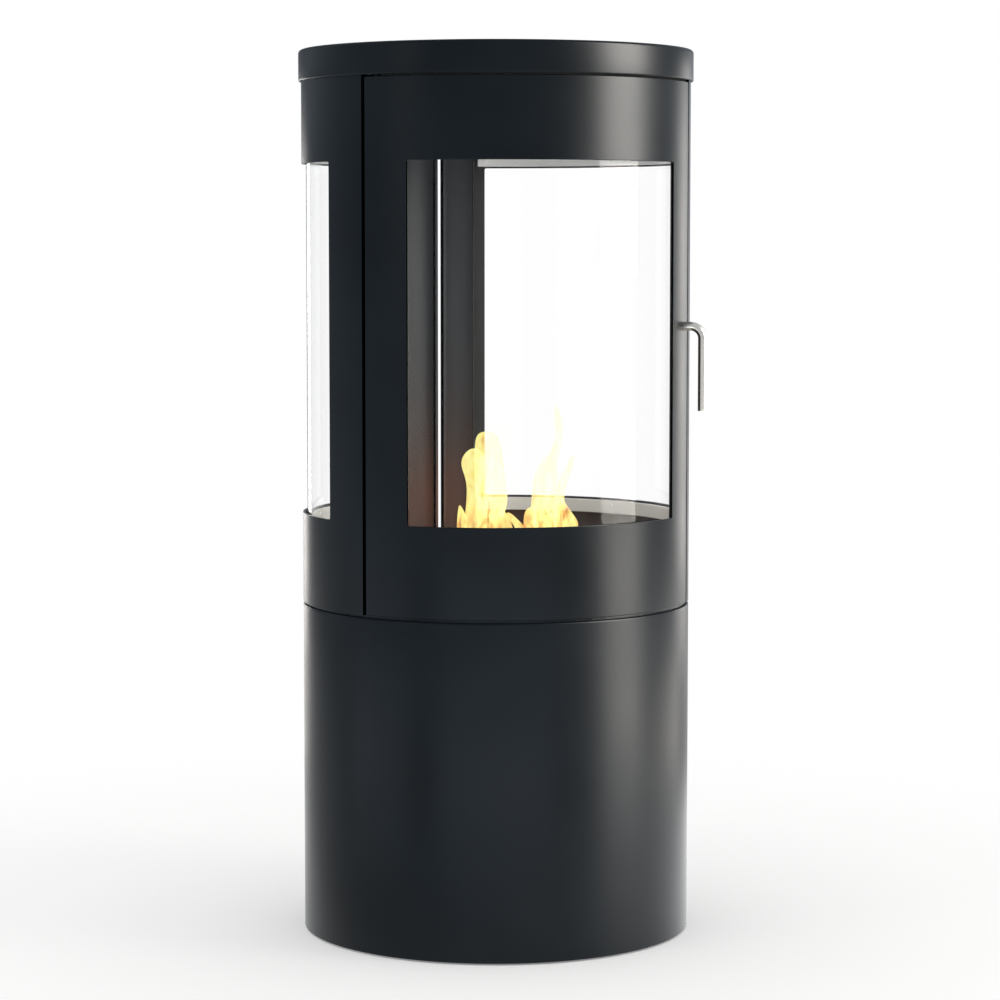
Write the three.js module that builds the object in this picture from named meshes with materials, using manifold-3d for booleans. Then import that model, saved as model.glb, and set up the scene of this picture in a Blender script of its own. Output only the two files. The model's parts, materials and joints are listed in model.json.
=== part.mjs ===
// A free-standing round bioethanol fireplace: a rolled-steel drum on a closed pedestal, glazed on three sides.
// Millimetres, +Z up, origin at the centre of the footprint. The door faces -Y.
// Angles go round from the front: 0 is -Y, 90 is +X and 180 is the back.
import * as THREE from 'three';
import { mergeVertices } from 'three/addons/utils/BufferGeometryUtils.js';
import Module from 'manifold-3d';

const wasm = await Module();
wasm.setup();

// Driving dimensions
const total_height = 998;
const body_radius = 220; // outside of the rolled shells
const shell_wall = 3;
const plate_wall = 3;
const seat_gap = 0.3; // between two pieces that touch
const facet_degrees = 5; // one facet of a rolled shell
const hole_facets = 24; // one large hole or small turned piece
const cut_allowance = 5; // a cutter's reach past what it cuts
const quarter_start = 45; // pieces that come in fours stand between the axes
const wedge_step = 45; // degrees in one side of a wedge's far end

// Pedestal
const floor_clearance = 2; // under the pedestal's rim
const pedestal_top = 374;
const pedestal_seam = 2.4; // shadow gap between pedestal and firebox shells
const deck_rise = 2.6; // deck plate's top above the pedestal's rim
const service_hole_radius = 45;
const glide_radius = 15;
const glide_height = 5;
const glide_stud_radius = 4;
const glide_stud_length = 14;
const glide_inset = 50; // glide axes inside the shell's outer surface
const weld_nut_width = 13;
const weld_nut_height = 6.5;
const thread_clearance = 0.3;
const deck_bolt_inset = 35;
const deck_bolt_radius = 4;
const deck_bolt_head_width = 13;
const deck_bolt_head_height = 5.3;
const deck_bolt_length = 20;

// Firebox shells and the three windows
const sill_height = 103.5; // window's lower edge above the pedestal's rim
const header_height = 92; // window's upper edge below the lid's skirt
const door_half_angle = 59.4;
const door_seam = 4.5; // upright gap at each side of the door
const door_window_half_angle = 44.4;
const side_window_start = 75;
const side_window_end = 165;
const rear_slot = 7; // upright see-through gap between the two half shells
const slot_flange_depth = 9;
const jamb_setback = 4;
const jamb_depth = 10;
const vent_count = 8;
const vent_width = 6;
const vent_drop = 24; // vents' upper end below the lid's skirt
const vent_height = 42;
const vent_start = 118;
const vent_end = 160;

// Glazing
const glass_wall = 4;
const glass_overlap = 14;
const gasket_wall = 1.4;
const gasket_setback = 1.5;
const clamp_wall = 2.3;
const clamp_foot = 3;
const clamp_setback = 2; // clamp strips stop short of the window's edge, so that they don't show from outside
const clamp_end_gap = 5; // and short of the glass's upright edges

// Roof and lid
const lid_height = 35;
const lid_overhang = 3; // lid skirt outside the shells
const lid_skirt_wall = 2.5;
const lid_edge = 1.2;
const door_top_gap = 2; // between the door's top edge and the lid's skirt
const roof_pan_rise = 1; // above the lid's lower edge
const roof_pan_rim = 26;
const heat_shield_margin = 30; // inside the shell's outer surface
const heat_shield_wall = 2;
const heat_shield_drop = 17;
const spacer_radius = 6;
const spacer_inset = 70; // inside the heat shield's edge
const shield_screw_radius = 2.5;
const shield_screw_head_radius = 5;
const shield_screw_head = 3;
const shield_screw_end = 5; // beyond the roof pan

// Firebox floor
const floor_drop = 41.5; // below the windows' lower edge
const floor_margin = 17; // inside the shell's outer surface
const floor_cutout_clearance = 2; // round the burner tank and the rear flanges
const floor_notch_depth = 10; // into the floor's edge at the rear flanges
const post_radius = 7;
const post_foot_radius = 12;
const post_foot = 3;
const post_inset = 60;
const hinge_notch = 18;

// Door, its hinge and its handle
const door_bottom_gap = 0.4; // above the deck plate
const door_flange_depth = 12;
const hinge_from_edge = 12;
const hinge_depth = 9; // pin axis inside the outer surface
const hinge_pin_radius = 4;
const hinge_collar_radius = 5.5;
const hinge_collar = 3;
const hinge_washer = 1;
const hinge_lug = 8;
const hinge_lug_radius = 8.5;
const hinge_lug_reach = 16;
const hinge_tongue_inset = 5; // tongue's inner face inside the pin's axis
const hinge_pin_length = 16;
const hinge_head_room = 4; // between the upper lug and the upper pin's collar
const handle_angle = 54.5;
const handle_rise = 212; // spindle above the windows' lower edge
const handle_rod_radius = 5;
const handle_bend = 13.5;
const handle_standoff = 21; // from the door's surface to the upright part's axis
const handle_drop = 94.5; // from the spindle to the rod's cut end
const handle_tail = 10; // length inside the door
const handle_washer_radius = 10;
const handle_washer = 2;
const handle_nut_width = 15;
const handle_nut = 5;
const catch_gap = 1; // between magnet and keeper with the door shut
const magnet_height = 40;
const magnet_depth = 8;
const magnet_inset = 42; // magnets' middle inside the window's height
const keeper_wall = 1;

// Burner and its slider
const burner_length = 240;
const burner_width = 140;
const burner_clearance = 5.4; // under the tank
const burner_wall = 2;
const burner_corner = 12;
const burner_y = -15;
const burner_rim = 8; // deck plate beyond the tank all round
const burner_deck_wall = 3;
const slot_length = 150;
const slot_width = 45;
const slot_inset = 35; // slot's middle behind the tank's front wall
const wick_gap = 3; // between the wick and the burner's deck
const wick_margin = 10; // wick beyond the slot at each end
const wick_lap = 6; // and along each side
const wick_corner = 5;
const slot_corner = 3;
const slider_wall = 2;
const slider_lap = 5; // slider beyond the slot on each side
const slider_travel = 55;
const rail_web = 2;
const rail_lip = 4;
const knob_radius = 6;
const knob_height = 9;

// Colours and finishes
const black_paint = { color: 0x24272a, roughness: 0.42, metalness: 0.3 };
const inner_steel = { color: 0x4a4a4c, roughness: 0.38, metalness: 0.6 };
const stainless = { color: 0xc4c2bd, roughness: 0.22, metalness: 1 };
const zinc = { color: 0xa9adb0, roughness: 0.4, metalness: 1 };
const clear_glass = { color: 0xe8f0ee, roughness: 0.03, metalness: 0, transparent: true, opacity: 0.25 };
const black_tape = { color: 0x151515, roughness: 0.95, metalness: 0 };
const white_fibre = { color: 0xe6e2d8, roughness: 1, metalness: 0 };
const dark_rubber = { color: 0x1b1b1b, roughness: 0.85, metalness: 0 };
const magnet_black = { color: 0x2a2a2c, roughness: 0.5, metalness: 0.2 };

// Derived sizes
const window_bottom = pedestal_top + sill_height;
const window_top = total_height - lid_height - header_height;
const glide_circle = body_radius - glide_inset;
const deck_bolt_circle = body_radius - deck_bolt_inset;
const heat_shield_radius = body_radius - heat_shield_margin;
const spacer_circle = heat_shield_radius - spacer_inset;
const floor_radius = body_radius - floor_margin;
const post_circle = body_radius - post_inset;
const floor_top = window_bottom - floor_drop;
const handle_height = window_bottom + handle_rise;
const handle_end = handle_height - handle_drop;
const magnet_heights = [window_bottom + magnet_inset, window_top - magnet_inset];
const body_inner = body_radius - shell_wall;
const plate_radius = body_inner - seat_gap;
const base_bottom = glide_height + seat_gap;
const deck_top = pedestal_top + deck_rise;
const deck_bottom = deck_top - plate_wall;
const top_plate_top = deck_bottom - seat_gap;
const shell_bottom = pedestal_top + pedestal_seam;
const lid_under = total_height - plate_wall;
const shell_top = lid_under - seat_gap;
const lid_bottom = total_height - lid_height;
const roof_pan_height = lid_bottom + roof_pan_rise;
const vent_top = lid_bottom - vent_drop;
const vent_bottom = vent_top - vent_height;
const door_bottom = deck_top + door_bottom_gap;
const door_top = lid_bottom - door_top_gap;
const gasket_outer = body_inner - seat_gap;
const gasket_inner = gasket_outer - gasket_wall;
const glass_outer = gasket_inner - seat_gap;
const glass_inner = glass_outer - glass_wall;
const clamp_outer = glass_inner - seat_gap;
const clamp_inner = clamp_outer - clamp_wall;
const glass_bottom = window_bottom - glass_overlap;
const glass_top = window_top + glass_overlap;
const floor_bottom = floor_top - plate_wall;
const hinge_radius = body_radius - hinge_depth;
const slot_y = burner_y - burner_width / 2 + slot_inset;
const burner_deck_bottom = floor_top + seat_gap;
const burner_deck_top = burner_deck_bottom + burner_deck_wall;
const degrees_per_mm = 180 / Math.PI / body_radius;
const seam_half = door_seam / 2 * degrees_per_mm;
const overlap_degrees = glass_overlap * degrees_per_mm;
const clamp_degrees = (glass_overlap - clamp_end_gap) * degrees_per_mm;
const door_edge = door_half_angle - seam_half;
const jamb_edge = door_half_angle + seam_half;
const hinge_angle = -(door_edge - hinge_from_edge * degrees_per_mm);

const radians = THREE.MathUtils.degToRad;

// Solids: closed geometries in, manifold solids between, one closed mesh out
function solid(geometry) {
  const bare = geometry.clone();
  bare.deleteAttribute('normal');
  bare.deleteAttribute('uv');
  const merged = mergeVertices(bare, 1e-4);
  const mesh = new wasm.Mesh({
    numProp: 3,
    vertProperties: new Float32Array(merged.attributes.position.array),
    triVerts: new Uint32Array(merged.index.array),
  });
  mesh.merge();
  return new wasm.Manifold(mesh);
}

function piece(name, body, finish) {
  const mesh = body.getMesh();
  const geometry = new THREE.BufferGeometry();
  geometry.setAttribute('position', new THREE.BufferAttribute(mesh.vertProperties, 3));
  geometry.setIndex(new THREE.BufferAttribute(mesh.triVerts, 1));
  const shown = new THREE.Mesh(geometry, new THREE.MeshStandardMaterial(finish));
  shown.name = name;
  return shown;
}

// A profile of [radius, height] points turned about the upright axis
function turned(profile, segments = 360 / facet_degrees) {
  const points = profile.map(([radius, height]) => new THREE.Vector2(radius, height));
  points.push(points[0].clone());
  const lathe = new THREE.LatheGeometry(points, segments);
  lathe.rotateX(Math.PI / 2);
  return solid(lathe);
}

function ring(inner, outer, low, high) {
  return turned([[inner, low], [outer, low], [outer, high], [inner, high]]);
}

function disc(radius, low, high, segments) {
  return turned([[0, low], [radius, low], [radius, high], [0, high]], segments);
}

function rod(radius, low, high, x, y, segments = 16) {
  return disc(radius, low, high, segments).translate([x, y, 0]);
}

function extruded(shape, low, high) {
  const options = { depth: high - low, bevelEnabled: false, curveSegments: 4 };
  const geometry = new THREE.ExtrudeGeometry(shape, options);
  geometry.translate(0, 0, low);
  return solid(geometry);
}

function box(width, depth, height, x, y, z) {
  return solid(new THREE.BoxGeometry(width, depth, height)).translate([x, y, z]);
}

function hexagon(width, low, high, x, y) {
  const nut = new THREE.CylinderGeometry(width / Math.sqrt(3), width / Math.sqrt(3), high - low, 6);
  nut.rotateX(Math.PI / 2);
  nut.translate(x, y, (low + high) / 2);
  return solid(nut);
}

function at(angle, radius) {
  return [radius * Math.sin(radians(angle)), -radius * Math.cos(radians(angle))];
}

// The part of space between two angles: a wedge from the axis, wider than the whole body
function wedge(start, end, low, high) {
  const reach = body_radius * 2;
  const steps = Math.ceil((end - start) / wedge_step);
  const shape = new THREE.Shape();
  shape.moveTo(0, 0);
  for (let step = 0; step <= steps; step += 1) {
    shape.lineTo(...at(start + (end - start) * step / steps, reach));
  }
  shape.closePath();
  return extruded(shape, low, high);
}

function sector(inner, outer, start, end, low, high) {
  return ring(inner, outer, low, high).intersect(wedge(start, end, low - 1, high + 1));
}

// A box that stands on a ring: across is tangential, radial is measured from the axis
function station(angle, across_start, across_end, radius_start, radius_end, low, high) {
  const width = across_end - across_start;
  const depth = radius_end - radius_start;
  const middle = [(across_start + across_end) / 2, -(radius_start + radius_end) / 2, (low + high) / 2];
  return box(width, depth, high - low, ...middle).rotate([0, 0, angle]);
}

function mirrored(body) {
  return body.mirror([1, 0, 0]);
}

function around(count, circle, offset = quarter_start) {
  return Array.from({ length: count }, (_, index) => at(offset + index * 360 / count, circle));
}

// Pedestal
function base_plate() {
  const hole = glide_stud_radius + thread_clearance;
  let plate = disc(plate_radius, base_bottom, base_bottom + plate_wall);
  plate = plate.subtract(disc(service_hole_radius, 0, pedestal_top, hole_facets));
  for (const [x, y] of around(4, glide_circle)) {
    const top = base_bottom + plate_wall + weld_nut_height;
    plate = plate.add(hexagon(weld_nut_width, base_bottom + plate_wall / 2, top, x, y));
    plate = plate.subtract(rod(hole, 0, pedestal_top, x, y));
  }
  return plate;
}

function glide(x, y) {
  const top = glide_height + glide_stud_length;
  return rod(glide_radius, 0, glide_height, x, y)
    .add(rod(glide_stud_radius, glide_height / 2, top, x, y));
}

function pedestal_top_plate() {
  const hole = deck_bolt_radius + thread_clearance;
  const bottom = top_plate_top - plate_wall;
  let plate = disc(plate_radius, bottom, top_plate_top);
  plate = plate.subtract(disc(service_hole_radius, 0, total_height, hole_facets));
  for (const [x, y] of around(4, deck_bolt_circle)) {
    plate = plate.add(hexagon(weld_nut_width, bottom - weld_nut_height, bottom + plate_wall / 2, x, y));
    plate = plate.subtract(rod(hole, 0, total_height, x, y));
  }
  return plate;
}

function deck_plate() {
  let plate = disc(plate_radius, deck_bottom, deck_top);
  plate = plate.subtract(disc(service_hole_radius, 0, total_height, hole_facets));
  for (const [x, y] of around(4, deck_bolt_circle)) {
    plate = plate.subtract(rod(deck_bolt_radius + thread_clearance, 0, total_height, x, y));
  }
  return plate;
}

function deck_bolt(x, y) {
  const seat = deck_top + seat_gap;
  return hexagon(deck_bolt_head_width, seat, seat + deck_bolt_head_height, x, y)
    .add(rod(deck_bolt_radius, seat - deck_bolt_length, seat + 1, x, y));
}

// Firebox: the right half shell; the left one is its mirror image
function vent_slots() {
  const slots = [];
  for (let index = 0; index < vent_count; index += 1) {
    const angle = vent_start + (vent_end - vent_start) * index / (vent_count - 1);
    const half = vent_width / 2;
    slots.push(station(angle, -half, half, clamp_inner, body_radius + cut_allowance, vent_bottom, vent_top));
  }
  return slots;
}

function slot_flange() {
  const high = body_inner + shell_wall / 2;
  const depth = slot_flange_depth + shell_wall / 2;
  const height = shell_top - shell_bottom;
  const x = (rear_slot + shell_wall) / 2;
  return box(shell_wall, depth, height, x, high - depth / 2, (shell_top + shell_bottom) / 2)
    .subtract(disc(floor_radius + seat_gap, floor_bottom - seat_gap, floor_top + seat_gap))
    .subtract(disc(plate_radius, deck_bottom, deck_top + seat_gap))
    .subtract(disc(plate_radius, roof_pan_height - seat_gap, roof_pan_height + roof_pan_rim + seat_gap));
}

function jamb_flange() {
  return station(jamb_edge, jamb_setback, jamb_setback + shell_wall,
    body_inner - jamb_depth, body_inner + shell_wall / 2, deck_top + seat_gap, roof_pan_height - seat_gap);
}

function shell_right() {
  const half_slot = box(rear_slot, body_radius, total_height * 2, 0, body_radius, 0);
  let shell = sector(body_inner, body_radius, jamb_edge, 180, shell_bottom, shell_top)
    .subtract(wedge(side_window_start, side_window_end, window_bottom, window_top))
    .subtract(half_slot)
    .add(slot_flange())
    .add(jamb_flange());
  for (const slot of vent_slots()) {
    shell = shell.subtract(slot);
  }
  return shell;
}

// Glazing, for a window between two angles
function glass_pane(start, end) {
  return sector(glass_inner, glass_outer,
    start - overlap_degrees, end + overlap_degrees, glass_bottom, glass_top);
}

function glass_gasket(start, end) {
  const setback = gasket_setback * degrees_per_mm;
  const frame = sector(gasket_inner, gasket_outer,
    start - overlap_degrees, end + overlap_degrees, glass_bottom, glass_top);
  return frame.subtract(wedge(start - setback, end + setback,
    window_bottom - gasket_setback, window_top + gasket_setback));
}

// An L-section strip: its leg covers the glass overlap inside, its foot reaches out past the glass edge
function clamp_bottom(start, end) {
  const high = glass_bottom - seat_gap;
  const low = high - clamp_foot;
  const edge = window_bottom - clamp_setback;
  const strip = turned([
    [clamp_inner, low], [gasket_outer, low], [gasket_outer, high],
    [clamp_outer, high], [clamp_outer, edge], [clamp_inner, edge],
  ]);
  return strip.intersect(wedge(start - clamp_degrees, end + clamp_degrees, low - 1, edge + 1));
}

function clamp_top(start, end) {
  const low = glass_top + seat_gap;
  const high = low + clamp_foot;
  const edge = window_top + clamp_setback;
  const strip = turned([
    [clamp_inner, edge], [clamp_outer, edge], [clamp_outer, low],
    [gasket_outer, low], [gasket_outer, high], [clamp_inner, high],
  ]);
  return strip.intersect(wedge(start - clamp_degrees, end + clamp_degrees, edge - 1, high + 1));
}

// Firebox floor on four posts
function floor_plate() {
  let plate = disc(floor_radius, floor_bottom, floor_top);
  const length = burner_length + floor_cutout_clearance * 2;
  const width = burner_width + floor_cutout_clearance * 2;
  plate = plate.subtract(box(length, width, plate_wall * 3, 0, burner_y, floor_top));
  const [x, y] = at(hinge_angle, hinge_radius);
  plate = plate.subtract(rod(hinge_notch, 0, total_height, x, y));
  const notch_width = rear_slot + (shell_wall + floor_cutout_clearance) * 2;
  return plate.subtract(box(notch_width, floor_notch_depth * 2, plate_wall * 3, 0, floor_radius, floor_top));
}

function floor_post(x, y) {
  const foot = deck_top + seat_gap;
  return rod(post_foot_radius, foot, foot + post_foot, x, y)
    .add(rod(post_radius, foot + post_foot / 2, floor_bottom - seat_gap, x, y));
}

// Roof and lid
function roof_pan() {
  const inner = plate_radius - plate_wall;
  const top = roof_pan_height + plate_wall;
  const rim = roof_pan_height + roof_pan_rim;
  let pan = turned([
    [0, roof_pan_height], [plate_radius, roof_pan_height], [plate_radius, rim],
    [inner, rim], [inner, top], [0, top],
  ]);
  for (const [x, y] of around(3, spacer_circle, 0)) {
    pan = pan.subtract(rod(shield_screw_radius + thread_clearance, 0, total_height, x, y, 12));
  }
  return pan;
}

const shield_top = roof_pan_height - heat_shield_drop;
const shield_bottom = shield_top - heat_shield_wall;

function heat_shield() {
  let shield = disc(heat_shield_radius, shield_bottom, shield_top);
  for (const [x, y] of around(3, spacer_circle, 0)) {
    shield = shield.subtract(rod(shield_screw_radius + thread_clearance, 0, total_height, x, y, 12));
  }
  return shield;
}

function heat_shield_spacer(x, y) {
  const bore = rod(shield_screw_radius + thread_clearance, 0, total_height, x, y, 12);
  return rod(spacer_radius, shield_top + seat_gap, roof_pan_height - seat_gap, x, y).subtract(bore);
}

function heat_shield_screw(x, y) {
  const head_top = shield_bottom - seat_gap;
  const end = roof_pan_height + plate_wall + shield_screw_end;
  return rod(shield_screw_head_radius, head_top - shield_screw_head, head_top, x, y)
    .add(rod(shield_screw_radius, head_top - 1, end, x, y, 12));
}

function lid() {
  const outer = body_radius + lid_overhang;
  const inner = outer - lid_skirt_wall;
  return turned([
    [0, lid_under], [inner, lid_under], [inner, lid_bottom], [outer, lid_bottom],
    [outer, total_height - lid_edge], [outer - lid_edge, total_height], [0, total_height],
  ]);
}

// Door
function door_shell() {
  let shell = sector(body_inner, body_radius, -door_edge, door_edge, door_bottom, door_top);
  shell = shell.subtract(wedge(-door_window_half_angle, door_window_half_angle, window_bottom, window_top));
  const root = body_inner + shell_wall / 2;
  const tip = body_inner - door_flange_depth;
  const latch = station(door_edge, -shell_wall, 0, tip, root, door_bottom, door_top);
  const hinge = station(-door_edge, 0, shell_wall, tip, root, door_bottom, door_top);
  const spindle = disc(handle_rod_radius + seat_gap, body_inner / 2, body_radius * 2);
  return shell.add(latch).add(hinge).subtract(laid_outwards(spindle, handle_angle, handle_height));
}

// Turns an upright solid on the axis so that it points outwards at an angle and a height
function laid_outwards(body, angle, height) {
  return body.rotate([90, 0, 0]).rotate([0, 0, angle]).translate([0, 0, height]);
}

function hinge_place() {
  return at(hinge_angle, hinge_radius);
}

function hinge_bore() {
  const [x, y] = hinge_place();
  return rod(hinge_pin_radius + seat_gap, 0, total_height, x, y);
}

function door_hinge(low) {
  const [x, y] = hinge_place();
  const lug = rod(hinge_lug_radius, low, low + hinge_lug, x, y);
  const high = low + hinge_lug;
  const inner = hinge_radius - hinge_tongue_inset;
  const tongue = station(hinge_angle, 0, hinge_lug_reach, inner, body_radius, low, high);
  const past_edge = -hinge_from_edge - hinge_lug_radius;
  const flange = station(-door_edge, past_edge, shell_wall + seat_gap, 0, body_radius * 2, low - 1, high + 1);
  return lug.add(tongue)
    .intersect(disc(plate_radius, low - 1, high + 1))
    .subtract(flange)
    .subtract(hinge_bore());
}

const lower_collar_top = deck_top + seat_gap + hinge_collar;
const lower_washer = lower_collar_top + seat_gap;
const lower_lug = lower_washer + hinge_washer + seat_gap;
const upper_collar_bottom = roof_pan_height - seat_gap - hinge_collar;
const upper_lug = upper_collar_bottom - hinge_head_room - hinge_lug;

function hinge_pin_lower() {
  const [x, y] = hinge_place();
  const foot = deck_top + seat_gap;
  return rod(hinge_collar_radius, foot, lower_collar_top, x, y)
    .add(rod(hinge_pin_radius, foot + 1, lower_collar_top + hinge_pin_length, x, y));
}

function hinge_pin_upper() {
  const [x, y] = hinge_place();
  const head = roof_pan_height - seat_gap;
  return rod(hinge_collar_radius, upper_collar_bottom, head, x, y)
    .add(rod(hinge_pin_radius, upper_collar_bottom - hinge_pin_length, head - 1, x, y));
}

function hinge_thrust_washer() {
  const [x, y] = hinge_place();
  return rod(hinge_collar_radius, lower_washer, lower_washer + hinge_washer, x, y).subtract(hinge_bore());
}

// The rod's centre line: straight out, a quarter bend and straight down, with most of its steps in the bend
class HandleLine extends THREE.Curve {
  getPoint(part, target = new THREE.Vector3()) {
    const bend_start = 0.1;
    const bend_end = 0.9;
    const inner = body_inner - handle_tail;
    const corner = body_radius + handle_standoff - handle_bend;
    const turn_height = handle_height - handle_bend;
    if (part <= bend_start) {
      return target.set(0, -THREE.MathUtils.lerp(inner, corner, part / bend_start), handle_height);
    }
    if (part >= bend_end) {
      const drop = (part - bend_end) / (1 - bend_end);
      return target.set(0, -(corner + handle_bend), THREE.MathUtils.lerp(turn_height, handle_end, drop));
    }
    const angle = (part - bend_start) / (bend_end - bend_start) * Math.PI / 2;
    const out = corner + handle_bend * Math.sin(angle);
    return target.set(0, -out, turn_height + handle_bend * Math.cos(angle));
  }

  getPointAt(part, target) {
    return this.getPoint(part, target);
  }

  getTangentAt(part, target) {
    return this.getTangent(part, target);
  }
}

function handle_rod() {
  const section = new THREE.Shape();
  section.absarc(0, 0, handle_rod_radius, 0, Math.PI * 2);
  const options = { steps: 10, curveSegments: 7, extrudePath: new HandleLine() };
  return solid(new THREE.ExtrudeGeometry(section, options)).rotate([0, 0, handle_angle]);
}

const washer_face = Math.sqrt((plate_radius - seat_gap) ** 2 - handle_washer_radius ** 2);

function handle_washer_ring() {
  const bore = handle_rod_radius + seat_gap;
  const inner = washer_face - handle_washer;
  const washer = turned([[bore, inner], [handle_washer_radius, inner],
    [handle_washer_radius, washer_face], [bore, washer_face]], hole_facets);
  return laid_outwards(washer, handle_angle, handle_height);
}

function handle_lock_nut() {
  const outer = washer_face - handle_washer - seat_gap;
  const bore = disc(handle_rod_radius + seat_gap, outer - handle_nut - 1, outer + 1, hole_facets);
  const nut = hexagon(handle_nut_width, outer - handle_nut, outer, 0, 0).subtract(bore);
  return laid_outwards(nut, handle_angle, handle_height);
}

// Magnetic catch: magnets on the right jamb flange, keeper plates on the door's latch flange
const jamb_face = jamb_setback - seat_gap;
const magnet_face = seat_gap + keeper_wall + catch_gap - door_seam;

function door_magnet(height) {
  const half = magnet_height / 2;
  const inner = body_inner - jamb_depth;
  return station(jamb_edge, magnet_face, jamb_face, inner, inner + magnet_depth,
    height - half, height + half);
}

function door_keeper(height) {
  const half = magnet_height / 2;
  const inner = body_inner - jamb_depth;
  return station(door_edge, seat_gap, seat_gap + keeper_wall, inner, inner + magnet_depth,
    height - half, height + half);
}

// Burner: an open tank hung in the floor by its deck plate, which has one long flame slot
function rounded(length, width, corner) {
  const shape = new THREE.Shape();
  const right = length / 2 - corner;
  const back = width / 2 - corner;
  shape.absarc(right, back, corner, 0, Math.PI / 2);
  shape.absarc(-right, back, corner, Math.PI / 2, Math.PI);
  shape.absarc(-right, -back, corner, Math.PI, Math.PI * 1.5);
  shape.absarc(right, -back, corner, Math.PI * 1.5, Math.PI * 2);
  shape.closePath();
  return shape;
}

const tank_bottom = deck_top + burner_clearance;

function burner_tank() {
  const inner = burner_corner - burner_wall;
  const outside = extruded(rounded(burner_length, burner_width, burner_corner), tank_bottom, floor_top);
  const inside = extruded(rounded(burner_length - burner_wall * 2, burner_width - burner_wall * 2, inner),
    tank_bottom + burner_wall, floor_top + 1);
  return outside.subtract(inside).translate([0, burner_y, 0]);
}

function burner_deck() {
  const length = burner_length + burner_rim * 2;
  const width = burner_width + burner_rim * 2;
  const outline = rounded(length, width, burner_corner + burner_rim);
  const plate = extruded(outline, burner_deck_bottom, burner_deck_top).translate([0, burner_y, 0]);
  const opening = rounded(slot_length, slot_width, slot_corner);
  const slot = extruded(opening, burner_deck_bottom - 1, burner_deck_top + 1).translate([0, slot_y, 0]);
  return plate.subtract(slot);
}

const wick_bottom = tank_bottom + burner_wall + seat_gap;

function burner_wick() {
  const top = burner_deck_bottom - wick_gap;
  const outline = rounded(slot_length + wick_margin * 2, slot_width + wick_lap * 2, wick_corner);
  return extruded(outline, wick_bottom, top).translate([0, slot_y, 0]);
}

const slider_length = slot_length + slider_lap * 2;
const slider_width = slot_width + slider_lap * 2;
const slider_bottom = burner_deck_top + seat_gap;
const slider_top = slider_bottom + slider_wall;
const slider_y = slot_y + slider_travel;

function burner_rail() {
  const inner = slider_length / 2 + seat_gap;
  const front = slot_y - slider_width / 2;
  const back = slider_y + slider_width / 2;
  const length = back - front;
  const middle = (back + front) / 2;
  const low = burner_deck_top + seat_gap;
  const lip_low = slider_top + seat_gap;
  const lip_high = lip_low + slider_wall;
  const web = box(rail_web, length, lip_high - low, inner + rail_web / 2, middle, (low + lip_high) / 2);
  const lip_width = rail_web + rail_lip;
  const lip_x = inner + rail_web - lip_width / 2;
  const lip = box(lip_width, length, slider_wall, lip_x, middle, (lip_low + lip_high) / 2);
  return web.add(lip);
}

function slider_plate() {
  return box(slider_length, slider_width, slider_wall, 0, slider_y, (slider_bottom + slider_top) / 2);
}

function slider_knob() {
  const seat = slider_top + seat_gap;
  return rod(knob_radius, seat, seat + knob_height, 0, slider_y);
}

// Assembly
const stove = new THREE.Group();

function add(name, body, finish) {
  stove.add(piece(name, body, finish));
}

add('base_plate', base_plate(), black_paint);
around(4, glide_circle).forEach(([x, y], index) => add(`glide_${index + 1}`, glide(x, y), dark_rubber));
add('pedestal_shell', ring(body_inner, body_radius, floor_clearance, pedestal_top), black_paint);
add('pedestal_top_plate', pedestal_top_plate(), black_paint);
add('deck_plate', deck_plate(), black_paint);
around(4, deck_bolt_circle).forEach(([x, y], index) => add(`deck_bolt_${index + 1}`, deck_bolt(x, y), zinc));
add('shell_right', shell_right(), black_paint);
add('shell_left', mirrored(shell_right()), black_paint);
for (const [side, start, end] of [
  ['right', side_window_start, side_window_end],
  ['left', -side_window_end, -side_window_start],
]) {
  add(`glass_${side}`, glass_pane(start, end), clear_glass);
  add(`glass_gasket_${side}`, glass_gasket(start, end), black_tape);
  add(`glass_clamp_${side}_bottom`, clamp_bottom(start, end), stainless);
  add(`glass_clamp_${side}_top`, clamp_top(start, end), stainless);
}
add('floor_plate', floor_plate(), inner_steel);
around(4, post_circle).forEach(([x, y], index) => add(`floor_post_${index + 1}`, floor_post(x, y), zinc));
add('roof_pan', roof_pan(), inner_steel);
add('heat_shield', heat_shield(), inner_steel);
around(3, spacer_circle, 0).forEach(([x, y], index) => {
  add(`heat_shield_spacer_${index + 1}`, heat_shield_spacer(x, y), zinc);
  add(`heat_shield_screw_${index + 1}`, heat_shield_screw(x, y), zinc);
});
add('lid', lid(), black_paint);
add('hinge_pin_lower', hinge_pin_lower(), zinc);
add('hinge_pin_upper', hinge_pin_upper(), zinc);
add('hinge_washer', hinge_thrust_washer(), zinc);
add('door_magnet_lower', door_magnet(magnet_heights[0]), magnet_black);
add('door_magnet_upper', door_magnet(magnet_heights[1]), magnet_black);
add('door_shell', door_shell(), black_paint);
add('door_glass', glass_pane(-door_window_half_angle, door_window_half_angle), clear_glass);
add('door_gasket', glass_gasket(-door_window_half_angle, door_window_half_angle), black_tape);
add('door_clamp_bottom', clamp_bottom(-door_window_half_angle, door_window_half_angle), stainless);
add('door_clamp_top', clamp_top(-door_window_half_angle, door_window_half_angle), stainless);
add('door_hinge_lower', door_hinge(lower_lug), black_paint);
add('door_hinge_upper', door_hinge(upper_lug), black_paint);
add('handle_rod', handle_rod(), stainless);
add('handle_washer', handle_washer_ring(), zinc);
add('handle_nut', handle_lock_nut(), zinc);
add('door_keeper_lower', door_keeper(magnet_heights[0]), zinc);
add('door_keeper_upper', door_keeper(magnet_heights[1]), zinc);
add('burner_tank', burner_tank(), stainless);
add('burner_deck', burner_deck(), stainless);
add('burner_wick', burner_wick(), white_fibre);
add('burner_rail_right', burner_rail(), stainless);
add('burner_rail_left', mirrored(burner_rail()), stainless);
add('slider_plate', slider_plate(), stainless);
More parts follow.
